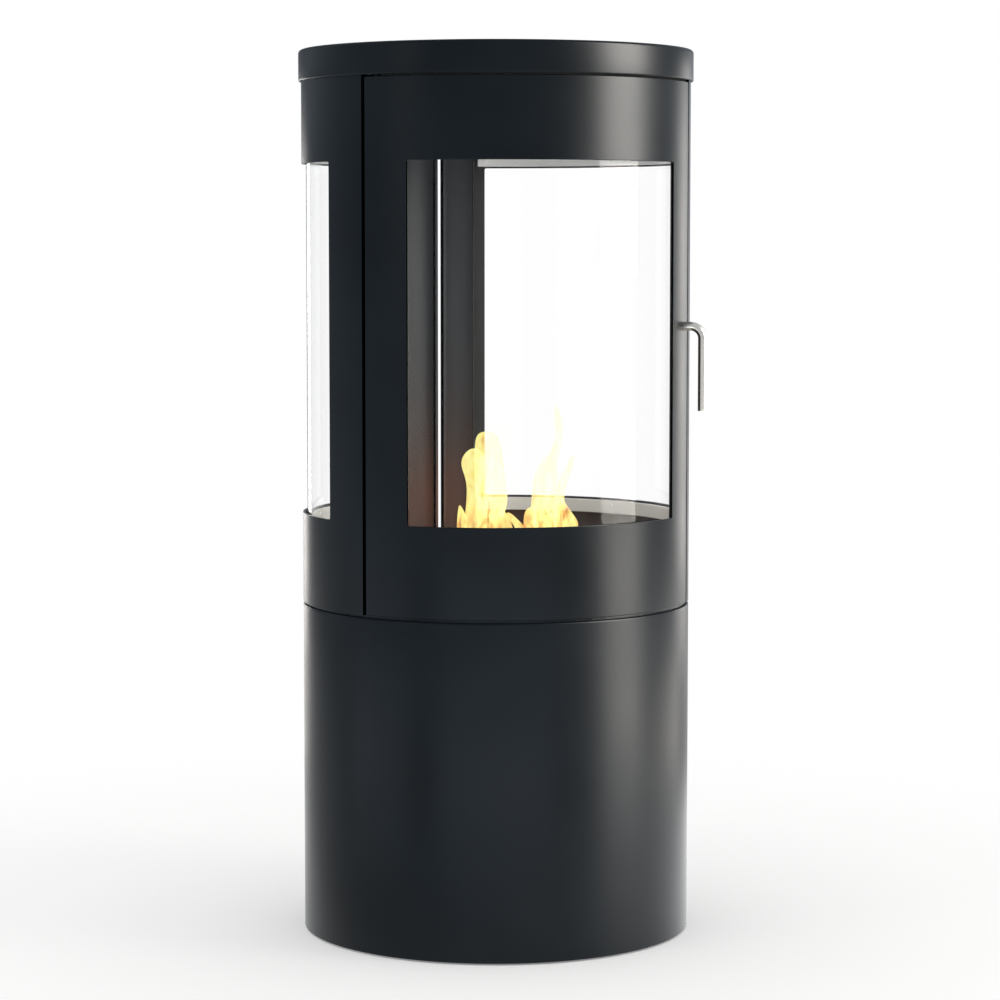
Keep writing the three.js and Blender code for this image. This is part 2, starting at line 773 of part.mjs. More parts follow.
add('slider_knob', slider_knob(), stainless);

export default stove;
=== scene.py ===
# %% [markdown]
# A round bioethanol fireplace, dressed for a picture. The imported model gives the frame: every length below is in
# metres, +Z is up, the door faces -Y and the origin is on the floor under the middle of the stove.
# Most of the visible pieces are rolled sheet steel. Each gets a smooth mesh of its own in place of the faceted solid.

# %% Load the frame
import json
import math
import bmesh
import bpy
from mathutils import Matrix, Vector


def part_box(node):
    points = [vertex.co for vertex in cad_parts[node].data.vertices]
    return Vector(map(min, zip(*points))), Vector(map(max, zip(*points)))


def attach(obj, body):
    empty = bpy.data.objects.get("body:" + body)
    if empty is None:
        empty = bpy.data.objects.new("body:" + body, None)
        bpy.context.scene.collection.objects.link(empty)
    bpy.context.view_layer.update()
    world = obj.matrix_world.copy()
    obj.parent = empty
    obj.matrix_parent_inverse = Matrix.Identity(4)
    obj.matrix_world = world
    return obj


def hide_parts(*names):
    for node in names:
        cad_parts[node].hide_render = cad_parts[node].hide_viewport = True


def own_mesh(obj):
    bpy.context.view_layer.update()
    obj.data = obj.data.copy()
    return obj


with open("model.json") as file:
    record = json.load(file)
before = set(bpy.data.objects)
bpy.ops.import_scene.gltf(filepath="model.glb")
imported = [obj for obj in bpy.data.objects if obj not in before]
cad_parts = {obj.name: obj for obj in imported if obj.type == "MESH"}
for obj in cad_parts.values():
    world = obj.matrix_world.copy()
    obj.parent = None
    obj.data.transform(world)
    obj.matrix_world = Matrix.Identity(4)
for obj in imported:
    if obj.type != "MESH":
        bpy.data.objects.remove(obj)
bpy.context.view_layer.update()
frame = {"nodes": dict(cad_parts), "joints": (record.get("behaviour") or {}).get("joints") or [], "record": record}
nodes = frame["nodes"]

# %% [markdown]
# The driving sizes come from the frame's own boxes where a box gives them. The rest are named here, such as the
# sheet's thickness and the angles at which the door and the windows start. Angles go round from the front, in degrees.

# %% Sizes
MM = 0.001
SHEET = 3 * MM
TOUCH = 0.3 * MM  # between two pieces that touch
VIEW_AZIMUTH = -18.6  # from where the picture is taken
body_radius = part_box("pedestal_shell")[1].x
pedestal_low, pedestal_high = (corner.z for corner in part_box("pedestal_shell"))
shell_low, shell_high = (corner.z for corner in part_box("shell_right"))
door_low, door_high = (corner.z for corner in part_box("door_shell"))
GLASS_OVERLAP = 14 * MM
window_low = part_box("door_glass")[0].z + GLASS_OVERLAP
window_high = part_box("door_glass")[1].z - GLASS_OVERLAP
DOOR_EDGE = 59.4
DOOR_SEAM = 4.5 * MM
DOOR_WINDOW = 44.4
SIDE_WINDOW = (75, 165)
REAR_SLOT = 7 * MM
seam_half_angle = math.degrees(DOOR_SEAM / 2 / body_radius)
overlap_angle = math.degrees(GLASS_OVERLAP / body_radius)
inner_radius = body_radius - SHEET
print("body radius", round(body_radius, 4), "window", round(window_low, 4), round(window_high, 4))


# %% [markdown]
# Colours are written as hex values. Blender's shaders want linear light, so one function turns them. A second small
# function adds a shader node with its settings and links. The ones after it add the nodes that most recipes share
# and hand on their outputs.

# %% Colour and node helpers
def linear(hex_colour):
    values = [int(hex_colour[i:i + 2], 16) / 255 for i in (1, 3, 5)]
    turned = [v / 12.92 if v <= 0.04045 else ((v + 0.055) / 1.055) ** 2.4 for v in values]
    return (*turned, 1.0)


def shade(colour, amount):
    return (*[channel * amount for channel in colour[:3]], 1.0)


def add_node(tree, kind, settings=None, inputs=None):
    node = tree.nodes.new(kind)
    for key, value in (settings or {}).items():
        setattr(node, key, value)
    for key, value in (inputs or {}).items():
        socket = node.inputs[key]
        if isinstance(value, bpy.types.NodeSocket):
            tree.links.new(value, socket)
        else:
            socket.default_value = value
    return node


def new_material(name):
    material = bpy.data.materials.new(name)
    material.use_nodes = True
    material.node_tree.nodes.clear()
    return material, material.node_tree


def end_material(tree, shader):
    output = add_node(tree, "ShaderNodeOutputMaterial")
    tree.links.new(shader, output.inputs["Surface"])


def principled(tree, inputs):
    return add_node(tree, "ShaderNodeBsdfPrincipled", inputs=inputs).outputs["BSDF"]


def place(tree, stretch=None):
    """Object coordinates, in metres."""
    where = add_node(tree, "ShaderNodeTexCoord").outputs["Object"]
    if stretch is None:
        return where
    return add_node(tree, "ShaderNodeMapping", inputs={"Vector": where, "Scale": stretch}).outputs["Vector"]


def noise(tree, where, scale, detail=2.0, distortion=0.0):
    node = add_node(tree, "ShaderNodeTexNoise", inputs={
        "Vector": where, "Scale": scale, "Detail": detail, "Distortion": distortion})
    return node.outputs["Fac"]


def remap(tree, value, old, new, smooth=False):
    node = add_node(tree, "ShaderNodeMapRange", {"interpolation_type": "SMOOTHSTEP" if smooth else "LINEAR"}, {
        "Value": value, "From Min": old[0], "From Max": old[1], "To Min": new[0], "To Max": new[1]})
    return node.outputs["Result"]


def bump(tree, height, distance, strength):
    node = add_node(tree, "ShaderNodeBump", inputs={"Height": height, "Distance": distance, "Strength": strength})
    return node.outputs["Normal"]


def maths(tree, operation, first, second, clamp=False):
    node = add_node(tree, "ShaderNodeMath", {"operation": operation, "use_clamp": clamp}, {0: first, 1: second})
    return node.outputs["Value"]


def vector_maths(tree, operation, first, second=(0, 0, 0)):
    node = add_node(tree, "ShaderNodeVectorMath", {"operation": operation}, {0: first, 1: second})
    return node.outputs["Value"]


def ramp(tree, value, stops):
    node = add_node(tree, "ShaderNodeValToRGB", inputs={"Fac": value})
    elements = node.color_ramp.elements
    while len(elements) < len(stops):
        elements.new(0.5)
    for element, (position, colour) in zip(elements, stops):
        element.position = position
        element.color = colour
    return node.outputs["Color"]


# %% [markdown]
# The drum is mild steel with a heat-proof powder coat, sprayed and baked. The eye sees a deep blue-black with a satin
# sheen, a very fine orange peel in the highlights, and a few faint cloudy patches where the coat is thicker. The peel
# is about 1.2 mm from crest to crest. A low specular level keeps the front dark against white surroundings. The faces
# that look at the fire have a thin grey heat paint instead, wiped upwards; its lighter tone is partly painted light,
# standing in for the fire's glow and the glass's reflections. Edges and folds are near-black and dull: painted shade,
# for the dark seams and the rear slot. A face knows which of the three it is by its normal.

# %% Powder-coated steel
CLOUDS = 6.0  # patches in a metre
CLOUD_RANGE = (0.3, 0.7)
ROUGHNESS_SPREAD = 0.03


def powder_coat(name, hex_colour, roughness, specular, peel=1.2 * MM, depth=0.02, stretch=(1, 1, 1)):
    material, tree = new_material(name)
    cloud = noise(tree, place(tree, stretch), CLOUDS, 3.0)
    colour = linear(hex_colour)
    base = ramp(tree, cloud, [(CLOUD_RANGE[0], shade(colour, 0.8)), (CLOUD_RANGE[1], shade(colour, 1.25))])
    sheen = remap(tree, cloud, CLOUD_RANGE, (roughness - ROUGHNESS_SPREAD, roughness + ROUGHNESS_SPREAD))
    peeled = bump(tree, noise(tree, place(tree), 1 / peel), 0.1 * MM, depth)
    end_material(tree, principled(tree, {
        "Base Color": base, "Roughness": sheen, "Specular IOR Level": specular, "Normal": peeled}))
    return material


satin_black = powder_coat("powder_coat_satin_black", "#0f161b", 0.33, 0.09)
# Grey heat paint, partly painted light: its lighter tone also stands in for the fire's glow and the glass's reflections
# inside.
inner_wall = powder_coat("inner_wall_grey_partly_painted_light", "#3f4448", 0.42, 0.09, 2 * MM, 0.03, (9, 9, 0.5))
# Near-black and without specular: painted shade on the faces of edges and folds, where the seams and the rear slot lie
# in shadow.
painted_shade_edges = powder_coat("painted_shade_edges_and_folds", "#060708", 0.6, 0.0)
inner_grey = powder_coat("heat_paint_inner_grey", "#2b2927", 0.42, 0.4)
print("paints", satin_black.name, inner_wall.name, painted_shade_edges.name, inner_grey.name)


# %% [markdown]
# The handle and the burner are stainless steel, ground with a belt. The lines of the grinding run one way, about
# 0.2 mm apart, too fine for a picture of the whole stove, so they are drawn at 0.6 mm. The strips that hold the glass
# are the same steel blasted with fine beads, which leaves it pale and dull; the pits scatter light as paint does, so
# most of it is not metallic. Bolts and posts are zinc-plated: greyer, a little blue and evenly dull.

# %% Bare metals
LINE = 0.6 * MM
LINE_SPREAD = 0.06


def bright_metal(name, hex_colour, roughness, stretch, metallic=1.0):
    material, tree = new_material(name)
    lines = noise(tree, place(tree, stretch), 1 / LINE, 3.0)
    end_material(tree, principled(tree, {
        "Base Color": linear(hex_colour), "Metallic": metallic,
        "Roughness": remap(tree, lines, (0, 1), (roughness - LINE_SPREAD, roughness + LINE_SPREAD)),
        "Normal": bump(tree, lines, 0.05 * MM, 0.03)}))
    return material


brushed_upright = bright_metal("stainless_brushed_upright", "#dfd7ca", 0.22, (1, 1, 0.04))
blasted_strip = bright_metal("stainless_bead_blasted", "#f8f8f6", 0.5, (1, 1, 1), metallic=0.25)
brushed_flat = bright_metal("stainless_brushed_flat", "#bdbab4", 0.28, (0.04, 1, 1))
zinc_plate = bright_metal("zinc_plated_steel", "#a3a7ab", 0.38, (1, 1, 1))


# %% [markdown]
# The windows are curved ceramic glass, 4 mm thick and clear, with an anti-glare coat: the photographed panes mirror
# almost nothing, so the IOR is set well below that of bare glass. Their ground upright edges are pale grey-green.
# Lamps have to reach the inside of the stove, and a glass shader alone would throw a dark shadow, so rays that carry
# lamp light pass straight through.

# %% Glass
COATED_GLASS_IOR = 1.15


def clear_glass():
    material, tree = new_material("ceramic_glass_clear")
    path = add_node(tree, "ShaderNodeLightPath").outputs
    lamp_or_diffuse = maths(tree, "MAXIMUM", path["Is Shadow Ray"], path["Is Diffuse Ray"])
    haze = remap(tree, noise(tree, place(tree), 12.0), (0.4, 1.0), (0.0, 0.01))
    glass = principled(tree, {
        "Base Color": (1, 1, 1, 1), "Roughness": haze, "IOR": COATED_GLASS_IOR, "Transmission Weight": 1.0})
    through = add_node(tree, "ShaderNodeBsdfTransparent").outputs["BSDF"]
    mix = add_node(tree, "ShaderNodeMixShader", inputs={0: lamp_or_diffuse, 1: glass, 2: through})
    end_material(tree, mix.outputs["Shader"])
    return material


def ground_edge():
    material, tree = new_material("ceramic_glass_ground_edge")
    marks = noise(tree, place(tree), 400.0)
    base = ramp(tree, marks, [(0.3, linear("#8d9184")), (0.7, linear("#a9ada0"))])
    end_material(tree, principled(tree, {"Base Color": base, "Roughness": 0.5}))
    return material


pane_glass = clear_glass()
pane_edge = ground_edge()


# %% [markdown]
# The rest are small and dull: woven glass-fibre tape between glass and sheet, a white ceramic-fibre wick, a near-black
# strip of painted shade for the door's side gaps, moulded rubber glides and a black magnet housing. The tape's threads
# are 1 mm apart, the fibre clumps 2 mm.

# %% Dull materials
def dull(name, hex_colour, roughness, grain, depth, specular=0.3):
    material, tree = new_material(name)
    spots = add_node(tree, "ShaderNodeTexVoronoi", inputs={
        "Vector": place(tree), "Scale": 1 / grain}).outputs["Distance"]
    colour = linear(hex_colour)
    base = ramp(tree, spots, [(0.0, colour), (1.0, shade(colour, 0.6))])
    end_material(tree, principled(tree, {
        "Base Color": base, "Roughness": roughness, "Specular IOR Level": specular,
        "Normal": bump(tree, spots, 0.3 * MM, depth)}))
    return material


fibre_tape = dull("glass_fibre_tape_black", "#3a3a3a", 0.9, 1 * MM, 0.5, 0.1)
fibre_wick = dull("ceramic_fibre_white", "#e4dfd4", 0.95, 2 * MM, 0.6)
# Near-black and without specular: painted shade for the door's side gaps.
shade_strip_black = dull("painted_shade_strip_black", "#040404", 0.95, 1.5 * MM, 0.1, 0.0)
glide_rubber = dull("rubber_moulded_black", "#1a1a1a", 0.8, 1.5 * MM, 0.1)
magnet_black = dull("magnet_housing_black", "#202022", 0.5, 1.5 * MM, 0.05)


# %% [markdown]
# A flame is burning gas. It hides little of what is behind it and adds its own light, orange in the folds and pale
# yellow in the body. High up each skin is mostly see-through and glows strongly, which comes out golden over the dark
# wall and almost white over a white ground. Low down it is denser, with brown folds. The folds come from a noise about
# 13 mm wide and 33 mm tall. The pairs of values below are for high up and for low down.

# %% Flame
FLAME_COVER = (0.25, 0.5)
FLAME_GLOW = (2.2, 1.5)
FLAME_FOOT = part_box("burner_deck")[1].z + 1 * MM
FLAME_BASE = 45 * MM
FOLDS = 75.0  # in a metre
DEEPER_FOLDS = -0.11
FLAME_COLOURS = {0.25: "#a8662f", 0.31: "#e0a055", 0.37: "#f6d27c", 0.45: "#fbea88", 0.6: "#fffba6"}


def flame_material():
    material, tree = new_material("flame_yellow")
    licks = noise(tree, place(tree, (1, 1, 0.4)), FOLDS, 3.0, 1.0)
    height = add_node(tree, "ShaderNodeSeparateXYZ", inputs={0: place(tree)}).outputs["Z"]
    stretch = (FLAME_FOOT + 0.5 * FLAME_BASE, FLAME_FOOT + 1.3 * FLAME_BASE)
    low_down = remap(tree, height, stretch, (1.0, 0.0), smooth=True)
    fold = add_node(tree, "ShaderNodeMath", {"operation": "MULTIPLY_ADD"}, {0: low_down, 1: DEEPER_FOLDS, 2: licks})
    colour = ramp(tree, fold.outputs["Value"], [(stop, linear(code)) for stop, code in FLAME_COLOURS.items()])
    end_material(tree, principled(tree, {
        "Base Color": (0, 0, 0, 1), "Roughness": 1.0, "Specular IOR Level": 0.0, "Emission Color": colour,
        "Emission Strength": remap(tree, low_down, (0, 1), FLAME_GLOW),
        "Alpha": remap(tree, low_down, (0, 1), FLAME_COVER)}))
    return material


flame = flame_material()


# %% [markdown]
# Three ways of making cover most of the stove. A rolled sheet is an upright line of points spun part of the way round
# the axis, with the window's faces deleted and the wall's thickness added after. A turned piece is a profile spun all
# the way round. A flat plate is an outline, filled and extruded. Small bevels then catch the light on each edge.

# %% Shape helpers
STEP = 1.0  # degrees in one facet of a rolled sheet
TURNED_STEP = 1.5  # degrees in one facet of a turned piece
SAME_PLACE = 0.01 * MM
SAME_ANGLE = 0.01


def at(angle, radius, height):
    turn = math.radians(angle)
    return Vector((radius * math.sin(turn), -radius * math.cos(turn), height))


def angle_of(point):
    return math.degrees(math.atan2(point.x, -point.y))


def facing(angle):
    """Turns a flat outline so that it looks along a radius."""
    return Matrix.Rotation(math.radians(angle), 4, "Z") @ Matrix.Rotation(math.radians(90), 4, "X")


def as_object(name, bm):
    """Puts bm into a new object in the scene, and frees bm."""
    mesh = bpy.data.meshes.new(name)
    bm.to_mesh(mesh)
    bm.free()
    thing = bpy.data.objects.new(name, mesh)
    bpy.context.scene.collection.objects.link(thing)
    return thing


def finish_piece(name, bm, body, material, replaces=(), bevel=0.0, segments=2, smooth=32):
    piece = as_object(name, bm)
    mesh = piece.data
    mesh.materials.append(material)
    mesh.shade_smooth()
    mesh.set_sharp_from_angle(angle=math.radians(smooth))
    if bevel:
        rounding = piece.modifiers.new("edge", "BEVEL")
        rounding.width = bevel
        rounding.segments = segments
        rounding.limit_method = "ANGLE"
        rounding.angle_limit = math.radians(40)
        rounding.harden_normals = True
    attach(piece, body)
    if replaces:
        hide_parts(*replaces)
    print(f"{name}: {len(mesh.polygons)} faces")
    return piece


def refinish(piece, material, chosen):
    """Gives another material to the faces that the chosen(normal, outwards) test picks."""
    piece.data.materials.append(material)
    index = len(piece.data.materials) - 1
    for face in piece.data.polygons:
        outwards = Vector((*face.center.xy, 0)).normalized()
        if chosen(face.normal, outwards):
            face.material_index = index


def faces_axis(normal, outwards):
    return normal.dot(outwards) < -0.7


def faces_along(normal, outwards):
    """True for upright edges and folds, whose faces look along the curve."""
    return abs(normal.z) < 0.5 and abs(normal.dot(outwards)) < 0.5


def verts_in(geom):
    return [g for g in geom if isinstance(g, bmesh.types.BMVert)]


def open_edges(bm):
    return [edge for edge in bm.edges if edge.is_boundary]


def close_holes(bm):
    bmesh.ops.holes_fill(bm, edges=open_edges(bm))
    bmesh.ops.recalc_face_normals(bm, faces=bm.faces)


def spun_line(points, start, stops):
    """Points (radius, height) at the start angle, spun to each stop in turn."""
    bm = bmesh.new()
    line = [bm.verts.new(at(start, radius, height)) for radius, height in points]
    moving = line + [bm.edges.new(pair) for pair in zip(line, line[1:])]
    here = start
    for stop in stops:
        steps = max(1, round(abs(stop - here) / STEP))
        made = bmesh.ops.spin(bm, geom=moving, cent=(0, 0, 0), axis=(0, 0, 1),
                              angle=math.radians(stop - here), steps=steps, use_merge=False)
        moving = [g for g in made["geom_last"] if not isinstance(g, bmesh.types.BMFace)]
        here = stop
    bmesh.ops.remove_doubles(bm, verts=bm.verts, dist=1e-6)
    return bm


def face_outwards(bm):
    """Turns an open rolled sheet's faces away from the axis."""
    inwards = [f for f in bm.faces if f.normal.dot(Vector((*f.calc_center_median().xy, 0))) < 0]
    bmesh.ops.reverse_faces(bm, faces=inwards)


def face_folded_sheet_outwards(bm):
    """Makes a folded sheet's faces agree, and turns them so that the rolled part looks away from the axis."""
    bmesh.ops.recalc_face_normals(bm, faces=bm.faces)
    outward = sum(f.normal.dot(Vector((*f.calc_center_median().xy, 0)).normalized()) * f.calc_area() for f in bm.faces)
    if outward < 0:
        bmesh.ops.reverse_faces(bm, faces=list(bm.faces))


def fold_in(bm, angle, way):
    """Grows a strip from the open upright edge at an angle, as long and in the direction that way says."""
    edge = [e for e in open_edges(bm) if all(abs(angle_of(v.co) - angle) < SAME_ANGLE for v in e.verts)]
    folded = bmesh.ops.extrude_edge_only(bm, edges=edge)["geom"]
    bmesh.ops.translate(bm, verts=verts_in(folded), vec=way)


def cut_window(bm, start, end, low, high):
    gone = []
    for face in bm.faces:
        middle = face.calc_center_median()
        if start < angle_of(middle) < end and low < middle.z < high:
            gone.append(face)
    bmesh.ops.delete(bm, geom=gone, context="FACES")


def thicken(bm, wall):
    """Gives outward faces a wall that grows towards the axis."""
    bmesh.ops.solidify(bm, geom=list(bm.faces), thickness=wall)
    bmesh.ops.recalc_face_normals(bm, faces=bm.faces)


def round_edges(bm, chosen, size, segments):
    bmesh.ops.bevel(bm, geom=chosen, offset=size, segments=segments, profile=0.5, affect="EDGES", material=-1)


def round_corners(bm, angles, heights, radius):
    """Rounds the edges that run through the wall at each pair of an angle and a height."""
    chosen = []
    for edge in bm.edges:
        ends = [(angle_of(v.co), v.co.z) for v in edge.verts]
        for angle in angles:
            for height in heights:
                if all(abs(a - angle) < 2 * SAME_ANGLE and abs(h - height) < SAME_PLACE for a, h in ends):
                    chosen.append(edge)
    round_edges(bm, chosen, radius, 4)


def turned_piece(profile, closed=False):
    """A profile of (radius, height) spun a full turn. It starts and ends on the axis, or closes on itself."""
    bm = bmesh.new()
    line = [bm.verts.new(at(0, radius, height)) for radius, height in profile]
    pairs = list(zip(line, line[1:])) + ([(line[-1], line[0])] if closed else [])
    edges = [bm.edges.new(pair) for pair in pairs]
    bmesh.ops.spin(bm, geom=line + edges, cent=(0, 0, 0), axis=(0, 0, 1), angle=math.tau,
                   steps=round(360 / TURNED_STEP), use_merge=True)
    bmesh.ops.remove_doubles(bm, verts=bm.verts, dist=1e-6)
    bmesh.ops.recalc_face_normals(bm, faces=bm.faces)
    return bm


def round_ring(bm, radius, height, size, segments):
    """Rounds the ring of edges at a radius and a height of a turned piece."""
    chosen = [edge for edge in bm.edges if all(
        abs(v.co.xy.length - radius) < SAME_PLACE and abs(v.co.z - height) < SAME_PLACE for v in edge.verts)]
    round_edges(bm, chosen, size, segments)


def block(bm, low, high):
    """A box between two corners. Gives its vertices."""
    made = bmesh.ops.create_cube(bm, size=1.0)["verts"]
    bmesh.ops.scale(bm, vec=high - low, verts=made)
    bmesh.ops.translate(bm, vec=(low + high) / 2, verts=made)
    return made


def cut_out(bm, hole):
    """The solid in bm less the solid in hole, as a new bmesh."""
    body, cutter = as_object("uncut", bm), as_object("hole", hole)
    cut = body.modifiers.new("cut", "BOOLEAN")
    cut.object = cutter
    cut.operation = "DIFFERENCE"
    cut.solver = "EXACT"
    bpy.context.view_layer.update()
    seen = body.evaluated_get(bpy.context.evaluated_depsgraph_get())
    result = bmesh.new()
    result.from_mesh(seen.to_mesh())
    seen.to_mesh_clear()
    for thing in (body, cutter):
        mesh = thing.data
        bpy.data.objects.remove(thing)
        bpy.data.meshes.remove(mesh)
    return result


# %% [markdown]
# The pedestal is one rolled shell. Its upper edge is ground round and catches a thin line of light under the dark
# shadow gap.

# %% Pedestal shell
wall = [(inner_radius, pedestal_low), (body_radius, pedestal_low), (body_radius, pedestal_high),
        (inner_radius, pedestal_high)]
bm = turned_piece(wall, closed=True)
round_ring(bm, body_radius, pedestal_high, 2.4 * MM, 5)
finish_piece("pedestal_drum", bm, "root", satin_black, ["pedestal_shell"], bevel=0.4 * MM)

# %% [markdown]
# The lid is a flat disc with a skirt that hides the top of the shells. Its two outer edges are generously rounded, and
# from eye level both read as pale lines, so they are rounded as real arcs and not left to a small bevel.

# %% Lid
lid_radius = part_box("lid")[1].x
lid_low, lid_high = (corner.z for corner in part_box("lid"))
LID_SKIRT = 2.5 * MM
LID_PLATE = 3 * MM
lid_inner = lid_radius - LID_SKIRT
bm = turned_piece([(0, lid_high - LID_PLATE), (lid_inner, lid_high - LID_PLATE), (lid_inner, lid_low),
                   (lid_radius, lid_low), (lid_radius, lid_high), (0, lid_high)])
round_ring(bm, lid_radius, lid_high, 4 * MM, 6)
round_ring(bm, lid_radius, lid_low, 1.6 * MM, 4)
finish_piece("lid_disc", bm, "root", satin_black, ["lid"], bevel=0.3 * MM)


# %% [markdown]
# Each half shell runs from the door's edge to the upright slot at the back. It has a window, a row of vent slots high
# up behind, an inward flange along the rear slot and a stop flange behind the door's edge. The sheet is spun in three
# stretches, so that the window's upright edges fall on a line of points. The left shell is the right one mirrored.

# %% Half shells
VENT_COUNT = 8
VENT_WIDTH = 6 * MM
VENT_LOW, VENT_HIGH = 897 * MM, 939 * MM
VENT_START, VENT_END = 118, 160
VENT_REACH = 10 * MM  # how far inside the wall the cut begins
SLOT_FLANGE = 12 * MM
JAMB_SETBACK = 4 * MM
JAMB_DEPTH = 10 * MM
CORNER_RADIUS = 2.2 * MM
deck_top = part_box("deck_plate")[1].z
roof_pan_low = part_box("roof_pan")[0].z
jamb_angle = DOOR_EDGE + seam_half_angle
slot_angle = 180 - math.degrees(math.asin(REAR_SLOT / 2 / body_radius))


def vents():
    """Upright slots with round ends, to be cut out of the header."""
    bm = bmesh.new()
    half = VENT_WIDTH / 2
    half_straight = (VENT_HIGH - VENT_LOW) / 2 - half
    for index in range(VENT_COUNT):
        angle = VENT_START + (VENT_END - VENT_START) * index / (VENT_COUNT - 1)
        made = bmesh.ops.create_circle(bm, cap_ends=True, radius=half, segments=16)["verts"]
        for vert in made:
            if abs(vert.co.y) > 1e-7:
                vert.co.y += math.copysign(half_straight, vert.co.y)
        middle = at(angle, inner_radius - VENT_REACH, (VENT_LOW + VENT_HIGH) / 2)
        bmesh.ops.transform(bm, matrix=Matrix.Translation(middle) @ facing(angle), verts=made)
        faces = [f for f in bm.faces if all(v in made for v in f.verts)]
        grown = bmesh.ops.extrude_face_region(bm, geom=faces)["geom"]
        bmesh.ops.translate(bm, verts=verts_in(grown), vec=at(angle, 3 * VENT_REACH, 0))
    bmesh.ops.recalc_face_normals(bm, faces=bm.faces)
    return bm


def upright_strip(bm, angle, across, radii, low, high):
    """A flat strip that stands on the ring at an angle: across is measured along the ring, in metres."""
    made = block(bm, Vector((across[0], -radii[1], low)), Vector((across[1], -radii[0], high)))
    bmesh.ops.rotate(bm, verts=made, cent=(0, 0, 0), matrix=Matrix.Rotation(math.radians(angle), 3, "Z"))


def finish_sheet(bm, window):
    """Gives a folded sheet its wall and rounds its window's corners."""
    face_folded_sheet_outwards(bm)
    thicken(bm, SHEET)
    round_corners(bm, window, (window_low, window_high), CORNER_RADIUS)
    return bm


def half_shell():
    line = [(body_radius, height) for height in (shell_low, window_low, window_high, shell_high)]
    bm = spun_line(line, jamb_angle, [*SIDE_WINDOW, slot_angle])
    cut_window(bm, *SIDE_WINDOW, window_low, window_high)
    face_outwards(bm)
    fold_in(bm, slot_angle, (0, -SLOT_FLANGE, 0))
    bm = cut_out(finish_sheet(bm, SIDE_WINDOW), vents())
    upright_strip(bm, jamb_angle, (JAMB_SETBACK, JAMB_SETBACK + SHEET),
                  (inner_radius - JAMB_DEPTH, inner_radius - 0.1 * MM), deck_top + TOUCH, roof_pan_low - TOUCH)
    return bm


def painted_sheet(name, bm, body, replaces, bevel):
    """A sheet with powder coat outside, grey heat paint inside that is partly painted light, and painted shade on its
    edges.
    """
    sheet = finish_piece(name, bm, body, satin_black, [replaces], bevel, 3)
    refinish(sheet, inner_wall, faces_axis)
    refinish(sheet, painted_shade_edges, faces_along)
    return sheet


right_half = painted_sheet("half_shell_right", half_shell(), "root", "shell_right", 0.7 * MM)
bm = half_shell()
bmesh.ops.scale(bm, vec=(-1, 1, 1), verts=bm.verts)
bmesh.ops.reverse_faces(bm, faces=bm.faces)
left_half = painted_sheet("half_shell_left", bm, "root", "shell_left", 0.7 * MM)

# %% [markdown]
# The door is a rolled sheet with its two upright edges folded in, which stiffens it. The fold is extruded from the
# open edge before the wall gets its thickness, so that sheet and fold are one piece of metal.

# %% Door
DOOR_FOLD = 15 * MM
door_angle = DOOR_EDGE - seam_half_angle


def door_sheet():
    line = [(body_radius, height) for height in (door_low, window_low, window_high, door_high)]
    window = (-DOOR_WINDOW, DOOR_WINDOW)
    bm = spun_line(line, -door_angle, [*window, door_angle])
    cut_window(bm, *window, window_low, window_high)
    face_outwards(bm)
    for edge in (-door_angle, door_angle):
        fold_in(bm, edge, -at(edge, DOOR_FOLD, 0))
    return finish_sheet(bm, window)


painted_sheet("door_sheet", door_sheet(), "door", "door_shell", 1.3 * MM)


# %% [markdown]
# Each window is a sandwich: woven tape against the sheet, then the curved pane, then an L-shaped stainless strip that
# hooks round the pane's lower and upper edge and holds it. All three follow the drum's curve, so all are spun lines.

# %% Glazing
TAPE = 1.4 * MM
PANE = 4 * MM
CLAMP = 2.3 * MM
CLAMP_FOOT = 3 * MM
CLAMP_END_GAP = 5 * MM
CLAMP_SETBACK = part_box("door_clamp_top")[0].z - window_high
TAPE_SETBACK = 1.5 * MM
tape_outer = inner_radius - TOUCH
pane_outer = tape_outer - TAPE - TOUCH
clamp_outer = pane_outer - PANE - TOUCH
clamp_inner = clamp_outer - CLAMP
clamp_overlap = math.degrees((GLASS_OVERLAP - CLAMP_END_GAP) / body_radius)
pane_low = window_low - GLASS_OVERLAP
pane_high = window_high + GLASS_OVERLAP


def pane(start, end):
    bm = spun_line([(pane_outer, pane_low), (pane_outer, pane_high)], start - overlap_angle, [end + overlap_angle])
    face_outwards(bm)
    thicken(bm, PANE)
    return bm


def tape_frame(start, end):
    setback = math.degrees(TAPE_SETBACK / body_radius)
    heights = (pane_low, window_low - TAPE_SETBACK, window_high + TAPE_SETBACK, pane_high)
    stops = [start - setback, end + setback, end + overlap_angle]
    bm = spun_line([(tape_outer, height) for height in heights], start - overlap_angle, stops)
    cut_window(bm, start - setback, end + setback, heights[1], heights[2])
    face_outwards(bm)
    thicken(bm, TAPE)
    return bm


def clamp_strip(start, end, edge, foot_low, foot_high):
    """An L section spun along the window's lower or upper edge, with its two ends capped."""
    if edge > foot_low:
        section = [(clamp_inner, foot_low), (tape_outer, foot_low), (tape_outer, foot_high),
                   (clamp_outer, foot_high), (clamp_outer, edge), (clamp_inner, edge)]
    else:
        section = [(clamp_inner, edge), (clamp_outer, edge), (clamp_outer, foot_low),
                   (tape_outer, foot_low), (tape_outer, foot_high), (clamp_inner, foot_high)]
    bm = spun_line([*section, section[0]], start - clamp_overlap, [end + clamp_overlap])
    close_holes(bm)
    return bm


